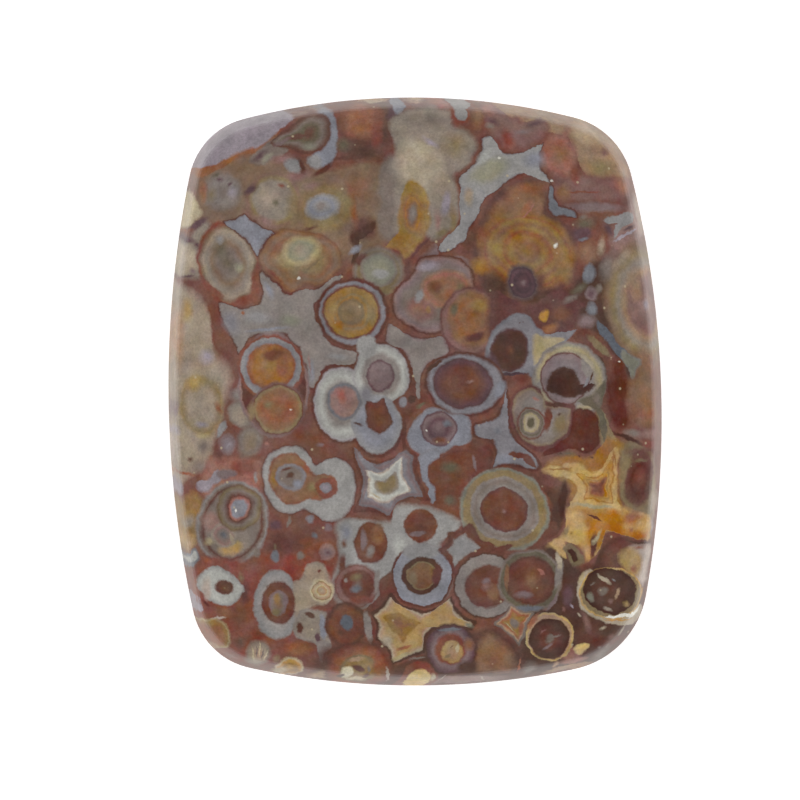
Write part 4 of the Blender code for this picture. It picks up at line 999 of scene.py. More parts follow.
RIGHT_MIDDLE = (
    ("star", "line", 0.14, ((3.45, -1.95), (4.6, -1.65), (5.1, -1.2), (5.45, -0.5), (5.6, 0.5),
     (5.75, -0.6), (5.7, -1.6), (5.9, -2.4), (6.4, -3.1), (7.3, -3.8), (7.7, -4.5), (7.3, -4.95),
     (6.5, -4.6), (5.5, -4.5), (4.6, -4.8), (4.9, -4), (4.6, -3.1), (3.5, -2.8)), 0.12),
    ("star", {0: "slate", 0.25: "pewter", 0.6: "pewter"}, 0.16, ((3.5, -2), (4.6, -1.75), (5.1, -1.3),
     (5.4, -0.6), (5.55, 0.4), (5.6, -0.7), (5.6, -1.7), (5.8, -2.4), (6.3, -3.15), (7.2, -3.9),
     (7.6, -4.5), (7.3, -4.85), (6.5, -4.5), (5.5, -4.4), (4.7, -4.7), (4.95, -4), (4.7, -3), (3.6, -2.7))),
    ("blue grey", 0.3, 5.4, -4.1, 0.6, 0.4),
    ("slate", 0.3, 5, -2.4, 0.3, 0.3),
    ("void", {0: "line", 0.15: "bole"}, 0.12, ((5.6, -3.75), (6.2, -3.6), (6.8, -3.75), (7.2, -4.1),
     (7.4, -4.7), (7, -4.5), (6.5, -4.1), (5.9, -3.95))),
    ("bole", 0.2, 3.9, -3.6, 0.8, 0.9),
    ("void", {0: "line", 0.3: "bole"}, 0.15, ((3.3, -3), (3.9, -3), (4.5, -3.3), (4.8, -3.9), (4.7, -4.8),
     (4.2, -5.6), (3.6, -5.9), (3.4, -5), (3.8, -4))),
    # The dark root under its arch, and the pale yellow star.
    ("void", {0: "slate", 0.4: "pewter"}, 0.15, ((4.2, 2.4), (4.5, 3.4), (5.1, 4.2), (5.9, 4.7),
     (6.6, 4.75), (7.1, 4.4), (7.6, 3.8), (8.1, 3.4), (8.9, 3.55), (9.9, 3.9), (9.5, 3.3), (8.6, 2.4),
     (7.4, 0.8), (6.6, 1), (5.4, 1), (4.4, 1.4))),
    ("void", {0: "dove", 0.25: "straw"}, 0.25, ((7.15, 1.6), (7.1, 2.4), (7.2, 3.5), (7.7, 3.4),
     (8.4, 3.35), (9.2, 3.3), (8.7, 2.9), (8, 2.4), (7.5, 1.9))),
    ({0: "cocoa", 0.3: "umber", 0.8: "umber", 1: "plum"}, 0.14, 5.75, 2.5, 1.25, 1.45, -15),
    ("plum", 0.35, 4.7, 1.7, 0.45, 0.8, 25),
    ("dark plum", 0.1, 5.8, 1.04, 1.2, 0.1, 2),
    ("bole", 0.15, 6.5, 0.85, 0.5, 0.25, 20),
    ("umber", 0.08, 6.28, 4.12, 0.07, 0.07),
    ("umber", 0.08, 6.48, 4.14, 0.07, 0.07),
    # The dark red root in its cream halo.
    ({0: "dove", 0.62: "dove", 0.8: "straw", 0.92: "dove", 1: "dark moss"}, 0.15, 9.35, 0.6, 2.35, 2.5),
    ("cream beige", 0.3, 10.4, 1.8, 0.6, 0.3, -45),
    ("sage", 0.2, 9.3, 2.75, 0.6, 0.14),
    ("dove", 0.3, 7.5, 0.3, 0.4, 0.6),
    ({0: "pewter", 0.88: "mauve", 0.93: "maroon", 1: "mauve"}, 0.1, 9.1, 0.75, 1.55, 1.65),
    ("dove", 0.15, 10.4, 1.3, 0.3, 0.8, 30),
    ("void", {0: "umber", 0.3: "dark umber"}, 0.14, ((7.95, 0.4), (8.1, 1), (8.6, 1.5), (9.3, 1.55),
     (9.9, 1.1), (10.1, 0.5), (10.3, 0.2), (10.9, 0.5), (11, 0.35), (10.5, -0.1), (9.8, -0.35), (9, -0.4),
     (8.3, -0.2), (7.9, 0))),
    ("pewter", 0.12, 10.4, 0.55, 0.14, 0.4, -25),
    ("umber", 0.08, 10.7, 0.9, 0.07, 0.35, -10),
    # The mauve brown root in its blue-grey halo.
    ({0: "blue grey", 0.85: "pewter", 0.93: "line", 1: "umber"}, 0.12, 3, 0.45, 2.55, 2.05, -5),
    ("blue grey", 0.25, 5.1, 0.1, 0.4, 0.7, -25),
    ({0: "bole", 0.5: "cocoa", 0.85: "plum", 1: "umber"}, 0.15, 2.85, 0.5, 1.9, 1.62),
    ("rose", 0.2, 3.3, 0.6, 0.3, 0.14, 20),
    ("umber", 0.12, 1.2, 1.55, 0.8, 0.14, 40),
    # The mauve speckled root and the merged brown ones, on blue-grey.
    ("void", {0: "pewter", 0.3: "blue grey"}, 0.14, ((-0.35, -2.2), (0.1, -1.5), (0.9, -0.9), (2, -1.2),
     (3.2, -1.5), (3.4, -2.4), (3.3, -3.2), (2.2, -3.5), (1.2, -4), (0.6, -4.4), (0.2, -3.8), (-0.3, -3.4),
     (-0.5, -2.8))),
    ("void", {0: "pewter", 0.3: "blue grey"}, 0.14, ((0.2, -3.8), (1.4, -3.4), (1.4, -5), (1.4, -6.6),
     (1.1, -6.9), (0.8, -6.6), (1, -6.2), (0.4, -5.3), (0.15, -4.6))),
    ({0: "mauve", 0.5: "plum", 0.8: "mauve", 0.92: "plum", 1: "maroon"}, 0.1, 1.45, -2.25, 1.17, 1.12),
    ("slate", 0.25, 1.95, -1.95, 0.35, 0.3),
    ("cocoa", 0.25, 1.5, -3, 0.6, 0.25),
    ("white", 0.05, 0.7, -2.4, 0.08, 0.08),
    ("void", {0: "maroon", 0.2: "cocoa"}, 0.14, ((0.7, -4.5), (1.4, -3.95), (2.2, -3.6), (3.2, -3.5),
     (3.7, -3.9), (3.8, -4.6), (3.3, -5.3), (3.4, -6), (3.6, -6.8), (3.1, -7.5), (2.3, -7.7), (1.5, -7.5),
     (0.8, -7.1), (1.1, -6.6), (1.1, -5.9), (0.8, -5.2))),
    ("mauve", 0.15, 3.65, -4.3, 0.14, 0.6, 10),
    ("dark moss", 0.4, 2.1, -4.6, 0.7, 0.45),
    ("dark moss", 0.3, 2.1, -6.6, 0.5, 0.4),
    ("brick", 0.3, 2.9, -5.9, 0.4, 0.9),
)

PEANUT_OUTLINE = (
    (-9.35, -5.2), (-9.2, -4.2), (-8.6, -3.55), (-7.6, -3.3), (-6.6, -3.6), (-6.1, -4.4), (-5.4, -4.1),
    (-4.5, -4), (-3.8, -4.7), (-3.5, -5.8), (-3.8, -7), (-4.4, -7.7), (-5.4, -7.95), (-6.3, -7.45),
    (-6.9, -7.2), (-7.6, -7.5), (-8.5, -7.1), (-9.1, -6.3),
)

WHITE_STAR = (
    # The peanut of two roots in one grey halo.
    ("void", "line", 0.14, PEANUT_OUTLINE, 0.1),
    ("void", {0: "mauve", 0.2: "pale grey"}, 0.12, PEANUT_OUTLINE),
    ("void", {0: "brick", 0.3: "bronze"}, 0.14, ((-9, -5.2), (-8.85, -4.3), (-8.3, -3.75), (-7.5, -3.65),
     (-6.8, -4), (-6.4, -4.6), (-5.9, -5), (-5.4, -4.95), (-4.85, -5.3), (-4.7, -5.9), (-5, -6.4),
     (-5.8, -6.7), (-6.4, -6.6), (-7, -6.85), (-7.8, -6.9), (-8.5, -6.4), (-8.9, -5.8))),
    ("rust", 0.3, -6.6, -4.7, 0.5, 0.3, -40),
    ("ochre", 0.3, -8.6, -5.4, 0.25, 0.7),
    ("olive", 0.3, -6.2, -5.8, 0.4, 0.4),
    ("terracotta", 0.3, -6, -6.5, 0.3, 0.2),
    ({0: "taupe", 0.6: "taupe", 0.85: "pewter", 1: "moss"}, 0.15, -7.55, -5.2, 0.98, 0.92, -20),
    ("blue grey", 0.2, -7.15, -5.6, 0.35, 0.35),
    ("russet", 0.15, -7.55, -5.15, 0.3, 0.2, 40),
    ("line", 0.15, -7.8, -4.75, 0.4, 0.16, 20),
    ({0: "lilac", 0.4: "pewter", 0.55: "brick", 0.85: "brick", 1: "bronze"}, 0.1, -5.35, -5.85, 0.72, 0.7),
    ("pewter", 0.15, -6.35, -7.75, 0.28, 0.28),
    # The star of pale bands with the olive middle.
    ("star", {0: "line", 0.4: "bole"}, 0.14, ((-4, -3.2), (-3, -4.05), (-1.9, -4.15), (-0.9, -3.7),
     (-0.5, -3.2), (0.2, -3.8), (0.1, -4.8), (0.7, -6), (1, -6.8), (0, -6.5), (-0.9, -7), (-1.4, -8),
     (-2.4, -7.4), (-3.9, -7.4), (-3.4, -6.4), (-3.3, -5.4), (-3.7, -4.4))),
    ("star", {0: "smoke", 0.3: "mauve", 0.6: "pewter"}, 0.12, ((-3.85, -3.3), (-3.3, -4), (-2.4, -4.35),
     (-1.5, -4.15), (-0.9, -3.6), (-0.5, -3.5), (-0.05, -3.85), (-0.15, -4.7), (0.1, -5.4), (0.6, -6.4),
     (-0.3, -6.45), (-1.2, -6.8), (-1.6, -7.7), (-2.5, -7.1), (-3.5, -6.9), (-3.2, -6.3), (-3.15, -5.4),
     (-3.5, -4.4))),
    ("star", {0: "smoke", 0.1: "bone", 0.22: "chalk", 0.5: "milk"}, 0.08, ((-3.1, -4.8), (-2.3, -4.85),
     (-1.6, -4.6), (-0.75, -3.85), (-0.75, -4.7), (-0.6, -5.3), (-0.15, -6.05), (-0.9, -6.25), (-1.4, -6.6),
     (-1.75, -6.8), (-2.3, -6.75), (-2.85, -6.45), (-2.85, -5.8), (-2.85, -5.3))),
    ("void", {0: "cream beige", 0.12: "stone", 0.35: "olive"}, 0.12, ((-2.5, -5.75), (-2.45, -5.4),
     (-1.85, -5.3), (-1.2, -4.8), (-0.95, -5.5), (-1.1, -5.95), (-1.7, -6.4), (-2.3, -6.2))),
    ("moss", 0.3, -1.75, -6, 0.5, 0.22, 15),
    ("cream beige", 0.15, -2.4, -6.35, 0.4, 0.1, -35),
)

LAYERS = (
    ("top left", TOP_LEFT),
    ("top middle", TOP_MIDDLE),
    ("upper root", UPPER_ROOT),
    ("top right", TOP_RIGHT),
    ("right edge", RIGHT_EDGE),
    ("grey voids", GREY_VOIDS),
    ("left middle", LEFT_MIDDLE),
    ("left star", LEFT_STAR),
    ("centre", CENTRE),
    ("middle", MIDDLE),
    ("right middle", RIGHT_MIDDLE),
    ("lower right", LOWER_RIGHT),
    ("golden star", GOLDEN_STAR),
    ("white star", WHITE_STAR),
    ("red roots", RED_ROOTS),
    ("bottom right", BOTTOM_RIGHT),
    ("lower middle", LOWER_MIDDLE),
    ("bottom left", BOTTOM_LEFT),
    ("bottom middle", BOTTOM_MIDDLE),
)


def to_linear(hex_colour, alpha=1.0):
    """An sRGB hex colour as linear RGBA."""
    values = [int(hex_colour[index:index + 2], 16) / 255 for index in (0, 2, 4)]
    linear = [value / 12.92 if value <= 0.04045 else ((value + 0.055) / 1.055) ** 2.4 for value in values]
    return (*linear, alpha)


def add_node(tree, kind, settings=None, inputs=None):
    """Adds a node. settings are its properties; inputs are values, or the sockets that feed it."""
    node = tree.nodes.new(kind)
    for name, value in (settings or {}).items():
        setattr(node, name, value)
    for key, value in (inputs or {}).items():
        if isinstance(value, bpy.types.NodeSocket):
            tree.links.new(value, node.inputs[key])
        else:
            node.inputs[key].default_value = value
    return node


def set_ramp(node, stops):
    """Gives a colour ramp its stops, each (position, RGBA)."""
    elements = node.color_ramp.elements
    while len(elements) > 1:
        elements.remove(elements[-1])
    elements[0].position, elements[0].color = stops[0]
    for position, colour in stops[1:]:
        elements.new(position).color = colour


class StoneSettings(bpy.types.PropertyGroup):
    """The stone's form."""

    length: FloatProperty(name="Length", description="Girdle length", default=CAD_SIZE[1], unit="LENGTH")
    width: FloatProperty(name="Width", description="Girdle width", default=CAD_SIZE[0], unit="LENGTH")
    thickness: FloatProperty(
        name="Thickness", description="From the flat back to the dome's top", default=CAD_SIZE[2],
        unit="LENGTH",
    )
    girdle_top: FloatProperty(
        name="Girdle Top", description="Height at which the dome starts", default=2.0 * MM, unit="LENGTH"
    )
    girdle_taper: FloatProperty(
        name="Girdle Taper", description="How far the girdle leans in", default=0.5 * MM, unit="LENGTH"
    )
    back_bevel: FloatProperty(
        name="Back Bevel", description="Bevel round the flat back", default=0.4 * MM, unit="LENGTH"
    )
    dome_power: FloatProperty(
        name="Dome Power", description="Higher is a flatter top with rounder shoulders", default=3.6
    )
    easing: FloatProperty(
        name="Edge Easing", description="How far polishing eats into each edge", default=0.3 * MM,
        unit="LENGTH",
    )
    segments: IntProperty(name="Segments", description="Points round the girdle", default=288)
    rings: IntProperty(name="Dome Rings", description="Rings from the top to the girdle", default=40)


class AgateSettings(bpy.types.PropertyGroup):
    """The stone's inside and its finish."""

    wander: FloatProperty(
        name="Wander", description="How far root walls stray from true ovals", default=0.16 * MM,
        unit="LENGTH",
    )
    lean: FloatProperty(
        name="Lean", description="How far roots lean sideways through the stone's thickness", default=0.3
    )
    polish: FloatProperty(name="Polish", description="Roughness of the dome", default=0.16, subtype="FACTOR")
    lapping: FloatProperty(
        name="Lapping", description="Roughness of the girdle and the back", default=0.45, subtype="FACTOR"
    )
    clouds: FloatProperty(name="Clouds", description="How much clouds darken or lighten it", default=1.1)
    grain: FloatProperty(name="Grain", description="How much the grain darkens or lightens it", default=0.7)


class TentSettings(bpy.types.PropertyGroup):
    """The light tent and the camera."""

    acrylic: FloatVectorProperty(
        name="Acrylic", description="Colour of the opal floor", default=(0.9, 0.9, 0.9), subtype="COLOR"
    )
    glow: FloatProperty(name="Glow", description="Light that comes up through the floor", default=0.6)
    walls: FloatProperty(name="Walls", description="Brightness of the walls near the table", default=0.4)
    top: FloatProperty(name="Top", description="Brightness of the tent's top", default=0.12)
    softbox_power: FloatProperty(name="Softbox Power", description="Watts of each softbox", default=1.6)
    softbox_size: FloatProperty(
        name="Softbox Size", description="Width of each softbox", default=0.3, unit="LENGTH"
    )
    softbox_place: FloatVectorProperty(
        name="Softbox Place", description="Where the right-hand softbox hangs", default=(0.35, 0.0, 0.42),
        subtype="TRANSLATION",
    )
    frame_width: FloatProperty(
        name="Frame Width", description="Width that the picture takes in", default=48.9 * MM, unit="LENGTH"
    )
    lens: FloatProperty(name="Lens", description="Focal length in mm", default=500.0)
    aim: FloatVectorProperty(
        name="Aim", description="The picture's middle on the stone", default=(-0.92 * MM, -0.52 * MM),
        size=2, unit="LENGTH",
    )


def outline_corners(size):
    """Where side and corner arcs meet, counter-clockwise: (place, tangent, handle before, handle after)."""
    half_width, half_length = size.width / 2, size.length / 2
    right, top, left, bottom = ([value * MM for value in side] for side in SIDES.values())
    circles = [
        (Vector((half_width - right[0], right[1])), right[0]),
        (Vector((top[1], half_length - top[0])), top[0]),
        (Vector((left[0] - half_width, left[1])), left[0]),
        (Vector((bottom[1], bottom[0] - half_length)), bottom[0]),
    ]
    arcs = []
    for index, radius in enumerate(value * MM for value in CORNERS):
        centre, reach = circles[index]
        next_centre, next_reach = circles[(index + 1) % 4]
        middle = touching_centre(centre, reach - radius, next_centre, next_reach - radius)
        starts = centre + (middle - centre).normalized() * reach
        ends = next_centre + (middle - next_centre).normalized() * next_reach
        arcs.append((middle, starts, ends))
    corners = []
    for index, (middle, starts, ends) in enumerate(arcs):
        side, next_side = circles[index][0], circles[(index + 1) % 4][0]
        last, following = arcs[index - 1][2], arcs[(index + 1) % 4][1]
        turn = arc_handle(middle, starts, ends)
        corners.append((starts, square_to(starts - side), arc_handle(side, last, starts), turn))
        corners.append((ends, square_to(ends - next_side), turn, arc_handle(next_side, ends, following)))
    return corners


def touching_centre(centre, near, next_centre, far):
    """The point at these two distances from the two centres, on the side of the stone's middle."""
    across = next_centre - centre
    gap = across.length
    along = (near**2 - far**2 + gap**2) / (2 * gap)
    aside = math.sqrt(near**2 - along**2)
    unit = across.normalized()
    feet = [centre + unit * along + square_to(unit) * aside * sign for sign in (1, -1)]
    return min(feet, key=lambda point: point.length)


def square_to(direction):
    """A unit vector a quarter turn counter-clockwise from this one."""
    unit = direction.normalized()
    return Vector((-unit.y, unit.x))


def arc_handle(middle, starts, ends):
    """The length of the Bezier handles that draw this arc."""
    sweep = (starts - middle).angle(ends - middle)
    return 4 / 3 * math.tan(sweep / 4) * (starts - middle).length


def outline_curve(size):
    """The cushion outline as a closed Bezier curve, counter-clockwise."""
    data = bpy.data.curves.new("cushion outline", "CURVE")
    data.resolution_u = 32
    spline = data.splines.new("BEZIER")
    corners = outline_corners(size)
    spline.bezier_points.add(len(corners) - 1)
    spline.use_cyclic_u = True
    for point, (place, tangent, before, after) in zip(spline.bezier_points, corners):
        point.handle_left_type = point.handle_right_type = "FREE"
        point.co = (*place, 0.0)
        point.handle_left = (*(place - tangent * before), 0.0)
        point.handle_right = (*(place + tangent * after), 0.0)
    curve = bpy.data.objects.new("cushion_outline", data)
    bpy.context.scene.collection.objects.link(curve)
    return curve


def eased(before, corner, after, reach, steps=5):
    """Points that round a corner of the section, from reach before it to reach after it."""
    starts = corner + (before - corner).normalized() * reach
    ends = corner + (after - corner).normalized() * reach
    shares = [step / steps for step in range(steps + 1)]
    return [starts * (1 - t) ** 2 + corner * 2 * t * (1 - t) + ends * t**2 for t in shares]


def section_object(size):
    """The stone's section as a line of points: X is the share of the outline's reach, Z the height."""
    reach = size.width / 2
    dome_reach = reach - size.girdle_taper
    rise = size.thickness - size.girdle_top
    dome = []
    for ring in range(size.rings + 1):
        share = math.sin(math.pi / 2 * ring / size.rings) ** RING_CROWDING
        dome.append(Vector((dome_reach * share, size.girdle_top + rise * (1 - share**size.dome_power))))
    edge = dome.pop()
    dome = [point for point in dome if (point - edge).length > size.easing * 1.5]
    hip = Vector((reach, size.back_bevel))
    heel = Vector((reach - size.back_bevel, 0.0))
    axis = Vector((0.0, 0.0))
    line = dome + eased(dome[-1], edge, hip, size.easing)
    line += eased(edge, hip, heel, size.easing * HIP_EASING)
    line += eased(hip, heel, axis, size.easing * HEEL_EASING)
    line += [heel * share for share in BACK_RINGS]
    mesh = bpy.data.meshes.new("cabochon section")
    mesh.from_pydata([(point.x / reach, 0.0, point.y) for point in line], [], [])
    section = bpy.data.objects.new("cabochon_section", mesh)
    bpy.context.scene.collection.objects.link(section)
    return section


def cabochon_tree():
    """Geometry nodes that spread a section inside an outline, ring by ring, and close it into a stone."""
    tree = bpy.data.node_groups.new("Cabochon Form", "GeometryNodeTree")
    for name, way, kind in (
        ("Outline", "INPUT", "Geometry"),
        ("Section", "INPUT", "Object"),
        ("Segments", "INPUT", "Int"),
        ("Rings", "INPUT", "Int"),
        ("Stone", "INPUT", "Material"),
        ("Cabochon", "OUTPUT", "Geometry"),
    ):
        tree.interface.new_socket(name, in_out=way, socket_type="NodeSocket" + kind)
    given = add_node(tree, "NodeGroupInput").outputs
    segments, rings = given["Segments"], given["Rings"]
    outline = add_node(
        tree, "GeometryNodeResampleCurve", {}, {"Curve": given["Outline"], "Count": segments}
    ).outputs[0]
    section = add_node(tree, "GeometryNodeObjectInfo", {}, {"Object": given["Section"]}).outputs["Geometry"]
    place = add_node(tree, "GeometryNodeInputPosition").outputs[0]
    columns = add_node(tree, "ShaderNodeMath", {"operation": "ADD"}, {0: segments, 1: 1.0}).outputs[0]
    gaps = add_node(tree, "ShaderNodeMath", {"operation": "SUBTRACT"}, {0: rings, 1: 1.0}).outputs[0]
    grid = add_node(
        tree, "GeometryNodeMeshGrid", {},
        {"Size X": 1.0, "Size Y": 1.0, "Vertices X": columns, "Vertices Y": rings},
    ).outputs["Mesh"]
    across = add_node(tree, "ShaderNodeSeparateXYZ", {}, {0: place}).outputs
    # Each point of the grid takes its reach from the outline's point of its column, and its share of that
    # reach and its height from the section's point of its row.
    found = []
    for geometry, index, steps in (
        (outline, across["X"], (("ADD", 0.5), ("MULTIPLY", segments), ("ROUND", 0.0), ("MODULO", segments))),
        (section, across["Y"], (("ADD", 0.5), ("MULTIPLY", gaps), ("ROUND", 0.0))),
    ):
        for operation, by in steps:
            index = add_node(tree, "ShaderNodeMath", {"operation": operation}, {0: index, 1: by}).outputs[0]
        found.append(add_node(
            tree, "GeometryNodeSampleIndex", {"data_type": "FLOAT_VECTOR", "domain": "POINT"},
            {"Geometry": geometry, "Value": place, "Index": index},
        ).outputs[0])
    share, _, height = add_node(tree, "ShaderNodeSeparateXYZ", {}, {0: found[1]}).outputs
    reach = add_node(
        tree, "ShaderNodeVectorMath", {"operation": "SCALE"}, {0: found[0], "Scale": share}
    ).outputs[0]
    lift = add_node(tree, "ShaderNodeCombineXYZ", {}, {"Z": height}).outputs[0]
    spot = add_node(tree, "ShaderNodeVectorMath", {"operation": "ADD"}, {0: reach, 1: lift}).outputs[0]
    spread = add_node(tree, "GeometryNodeSetPosition", {}, {"Geometry": grid, "Position": spot}).outputs[0]
    closed = add_node(
        tree, "GeometryNodeMergeByDistance", {}, {"Geometry": spread, "Distance": 0.001 * MM}
    ).outputs[0]
    outwards = add_node(tree, "GeometryNodeFlipFaces", {}, {0: closed}).outputs[0]
    smooth = add_node(tree, "GeometryNodeSetShadeSmooth", {}, {0: outwards}).outputs[0]
    real = add_node(tree, "GeometryNodeRealizeInstances", {}, {0: smooth}).outputs[0]
    finished = add_node(
        tree, "GeometryNodeSetMaterial", {}, {"Geometry": real, "Material": given["Stone"]}
    ).outputs[0]
    add_node(tree, "NodeGroupOutput", {}, {"Cabochon": finished})
    return tree


def grind_stone(size, material):
    """The cabochon as a plain mesh, ground from its outline and its section."""
    outline = outline_curve(size)
    section = section_object(size)
    shaping = outline.modifiers.new("Cabochon Form", "NODES")
    shaping.node_group = cabochon_tree()
    values = {
        "Section": section,
        "Segments": size.segments,
        "Rings": len(section.data.vertices),
        "Stone": material,
    }
    for socket in shaping.node_group.interface.items_tree:
        if socket.name in values:
            shaping[socket.identifier] = values[socket.name]
    graph = bpy.context.evaluated_depsgraph_get()
    mesh = bpy.data.meshes.new_from_object(outline.evaluated_get(graph))
    mesh.name = "polished_stone"
    if not mesh.polygons:
        raise RuntimeError("the cabochon's outline gave no faces")
    for used in (outline, section):
        bpy.data.objects.remove(used, do_unlink=True)
    stone = bpy.data.objects.new("polished_stone", mesh)
    bpy.context.scene.collection.objects.link(stone)
    return stone


def smooth_outline(points, steps=6):
    """A closed Catmull-Rom line through the given points."""
    line = []
    count = len(points)
    for index in range(count):
        p0, p1, p2, p3 = (Vector(points[(index + shift) % count]) for shift in (-1, 0, 1, 2))
        for step in range(steps):
            t = step / steps
            bend = 2 * p1 + (p2 - p0) * t + (2 * p0 - 5 * p1 + 4 * p2 - p3) * t**2
            line.append((bend + (3 * p1 - p0 - 3 * p2 + p3) * t**3) / 2)
    return line


def reaches(pole, line, directions):
    """How far the closed line lies from the pole in each of the evenly spaced directions, from -X round."""
    found = []
    pole = Vector(pole)
    edges = [(line[index - 1] - pole, line[index] - pole) for index in range(len(line))]
    for step in range(directions):
        angle = math.tau * (step / directions - 0.5)
        ray = Vector((math.cos(angle), math.sin(angle)))
        hits = []
        for first, second in edges:
            along, side, next_side = second - first, first.cross(ray), second.cross(ray)
            if side * next_side <= 0 and side != next_side:
                hits.append((first + along * (side / (side - next_side))).dot(ray))
        found.append(max(hits))
    return found


def laid_over(tree, below, depth, stops):
    """A mark's colours by depth over what is below: see-through at its wall, opaque past its fade."""
    if len(stops) == 1:
        (fade, colour), = stops
        opaque = add_node(
            tree, "ShaderNodeMath", {"operation": "MULTIPLY"}, {0: depth, 1: 1 / fade}
        ).outputs[0]
    else:
        ramp = add_node(tree, "ShaderNodeValToRGB", {}, {"Fac": depth})
        set_ramp(ramp, [(0.0, (*stops[0][1][:3], 0.0))] + stops)
        opaque, colour = ramp.outputs["Alpha"], ramp.outputs["Color"]
    mixed = add_node(
        tree, "ShaderNodeMix", {"data_type": "RGBA"}, {"Factor": opaque, MIX_BELOW: below, MIX_ABOVE: colour}
    )
    return mixed.outputs[MIX_COLOUR]


def at(node, middle, halves, turn=0.0):
    """Puts a gradient at a place on the stone, with these half sizes and this turn in degrees."""
    mapping = node.texture_mapping
    mapping.vector_type = "TEXTURE"
    mapping.translation = (*middle, 0.0)
    mapping.rotation = (0.0, 0.0, math.radians(turn))
    mapping.scale = (*halves, 1.0)
    return node.outputs["Fac"]


def paint_eye(tree, place, below, rings, blur, x, y, half_width, half_height, turn=0.0):
    """A root cut across: rings of colour from its middle to its rim."""
    gradient = add_node(tree, "ShaderNodeTexGradient", {"gradient_type": "SPHERICAL"}, {"Vector": place})
    share_from_rim = at(gradient, (x, y), (half_width, half_height), turn)
    return laid_over(tree, below, share_from_rim, eye_stops(rings, blur / (half_width * half_height) ** 0.5))


def eye_stops(rings, fade):
    """A root's rings as ramp stops, which run from the rim at 0 to the middle at 1."""
    rings = {1: rings} if isinstance(rings, str) else rings
    stops = [(1 - share, to_linear(PALETTE[name])) for share, name in reversed(rings.items())]
    return with_fade(stops, fade)


def with_fade(stops, fade):
    """The stops from the fade on, where the mark is opaque."""
    def colour_at(position):
        for (first, low), (second, high) in zip(stops, stops[1:]):
            if first <= position <= second:
                share = (position - first) / (second - first)
                return [a + (b - a) * share for a, b in zip(low, high)]
        return stops[-1][1]

    fade = min(fade, WIDEST_FADE)
    return [(fade, (*colour_at(fade)[:3], 1.0))] + [stop for stop in stops if stop[0] > fade + 0.001]


def paint_void(tree, place, below, bands, blur, points, grow=0.0, sharp=False):
    """A void between roots, filled band by band from its wall in. One that is grown makes a rim under it."""
    pole, reach = void_reach(points, grow, sharp)
    limit = max(reach)
    around = add_node(tree, "ShaderNodeTexGradient", {"gradient_type": "RADIAL"}, {"Vector": place})
    outwards = add_node(tree, "ShaderNodeTexGradient", {"gradient_type": "SPHERICAL"}, {"Vector": place})
    wall = add_node(tree, "ShaderNodeFloatCurve", {}, {"Value": at(around, pole, (1.0, 1.0))})
    set_wall(wall.mapping, [value / limit - 1 for value in reach])
    depth = add_node(
        tree, "ShaderNodeMath", {"operation": "ADD"},
        {0: at(outwards, pole, (limit, limit)), 1: wall.outputs[0]},
    ).outputs[0]
    return laid_over(tree, below, depth, void_stops(bands, blur, limit))


def void_reach(points, grow, sharp):
    """A void's middle, and how far its wall lies from there in each direction."""
    line = [Vector(point) for point in points] if sharp else smooth_outline(points)
    pole = sum((Vector(point) for point in points), Vector((0.0, 0.0))) / len(points)
    return pole, [reach + grow for reach in reaches(pole, line, WALL_DIRECTIONS)]


def void_stops(bands, blur, limit):
    """A void's bands as ramp stops, which run from its wall at 0 to the depth of its reach at 1."""
    bands = {0: bands} if isinstance(bands, str) else bands
    stops = [(min(1.0, deep / limit), to_linear(PALETTE[name])) for deep, name in bands.items()]
    return with_fade(stops, blur / limit)


def set_wall(mapping, values):
    """Gives a float curve evenly spaced values once round, joined straight."""
    mapping.use_clip = False
    points = mapping.curves[0].points
    count = len(values)
    points[0].location = (0.0, values[0])
    points[1].location = (1.0, values[0])
    for index in range(1, count):
        points.new(index / count, values[index])
    for point in points:
        point.handle_type = "VECTOR"
    mapping.update()


def layer_group(name, marks):
    """One layer of the pattern as a node group: each mark is laid over the ones before it."""
    tree = bpy.data.node_groups.new(name, "ShaderNodeTree")
    tree.interface.new_socket("Place", in_out="INPUT", socket_type="NodeSocketVector")
    tree.interface.new_socket("Below", in_out="INPUT", socket_type="NodeSocketColor")
    tree.interface.new_socket("Colour", in_out="OUTPUT", socket_type="NodeSocketColor")
    given = add_node(tree, "NodeGroupInput").outputs
    colour = given["Below"]
    for mark in marks:
        if mark[0] in VOID_KINDS:
            colour = paint_void(tree, given["Place"], colour, *mark[1:], sharp=mark[0] == "star")
        else:
            colour = paint_eye(tree, given["Place"], colour, *mark)
    add_node(tree, "NodeGroupOutput", {}, {"Colour": colour})
    return tree


def mark_box(mark):
    """The box round a mark, in mm: left, bottom, right, top."""
    if mark[0] in VOID_KINDS:
        across, along = zip(*mark[3])
        return min(across), min(along), max(across), max(along)
    x, y, half_width, half_height = mark[2:6]
    reach = max(half_width, half_height)
    return x - reach, y - reach, x + reach, y + reach


def pattern_groups():
    """The whole pattern as node groups of a few marks each, every one with the box round its marks."""
    groups = []
    for name, marks in LAYERS:
        for first in range(0, len(marks), MARKS_IN_A_GROUP):
            few = marks[first:first + MARKS_IN_A_GROUP]
            left, bottom, right, top = zip(*(mark_box(mark) for mark in few))
            groups.append((layer_group(name, few), (min(left), min(bottom), max(right), max(top))))
    return groups


def patch_box(size, column, row):
    """One patch of the stone seen from above, with its margin, in mm: left, bottom, right, top."""
    wide, long = size.width / MM / PATCHES[0], size.length / MM / PATCHES[1]
    left, bottom = (column - PATCHES[0] / 2) * wide, (row - PATCHES[1] / 2) * long
    right, top = left + wide, bottom + long
    return left - PATCH_MARGIN, bottom - PATCH_MARGIN, right + PATCH_MARGIN, top + PATCH_MARGIN


def meet(box, other):
    """Whether two boxes overlap."""
    return box[0] < other[2] and other[0] < box[2] and box[1] < other[3] and other[1] < box[3]


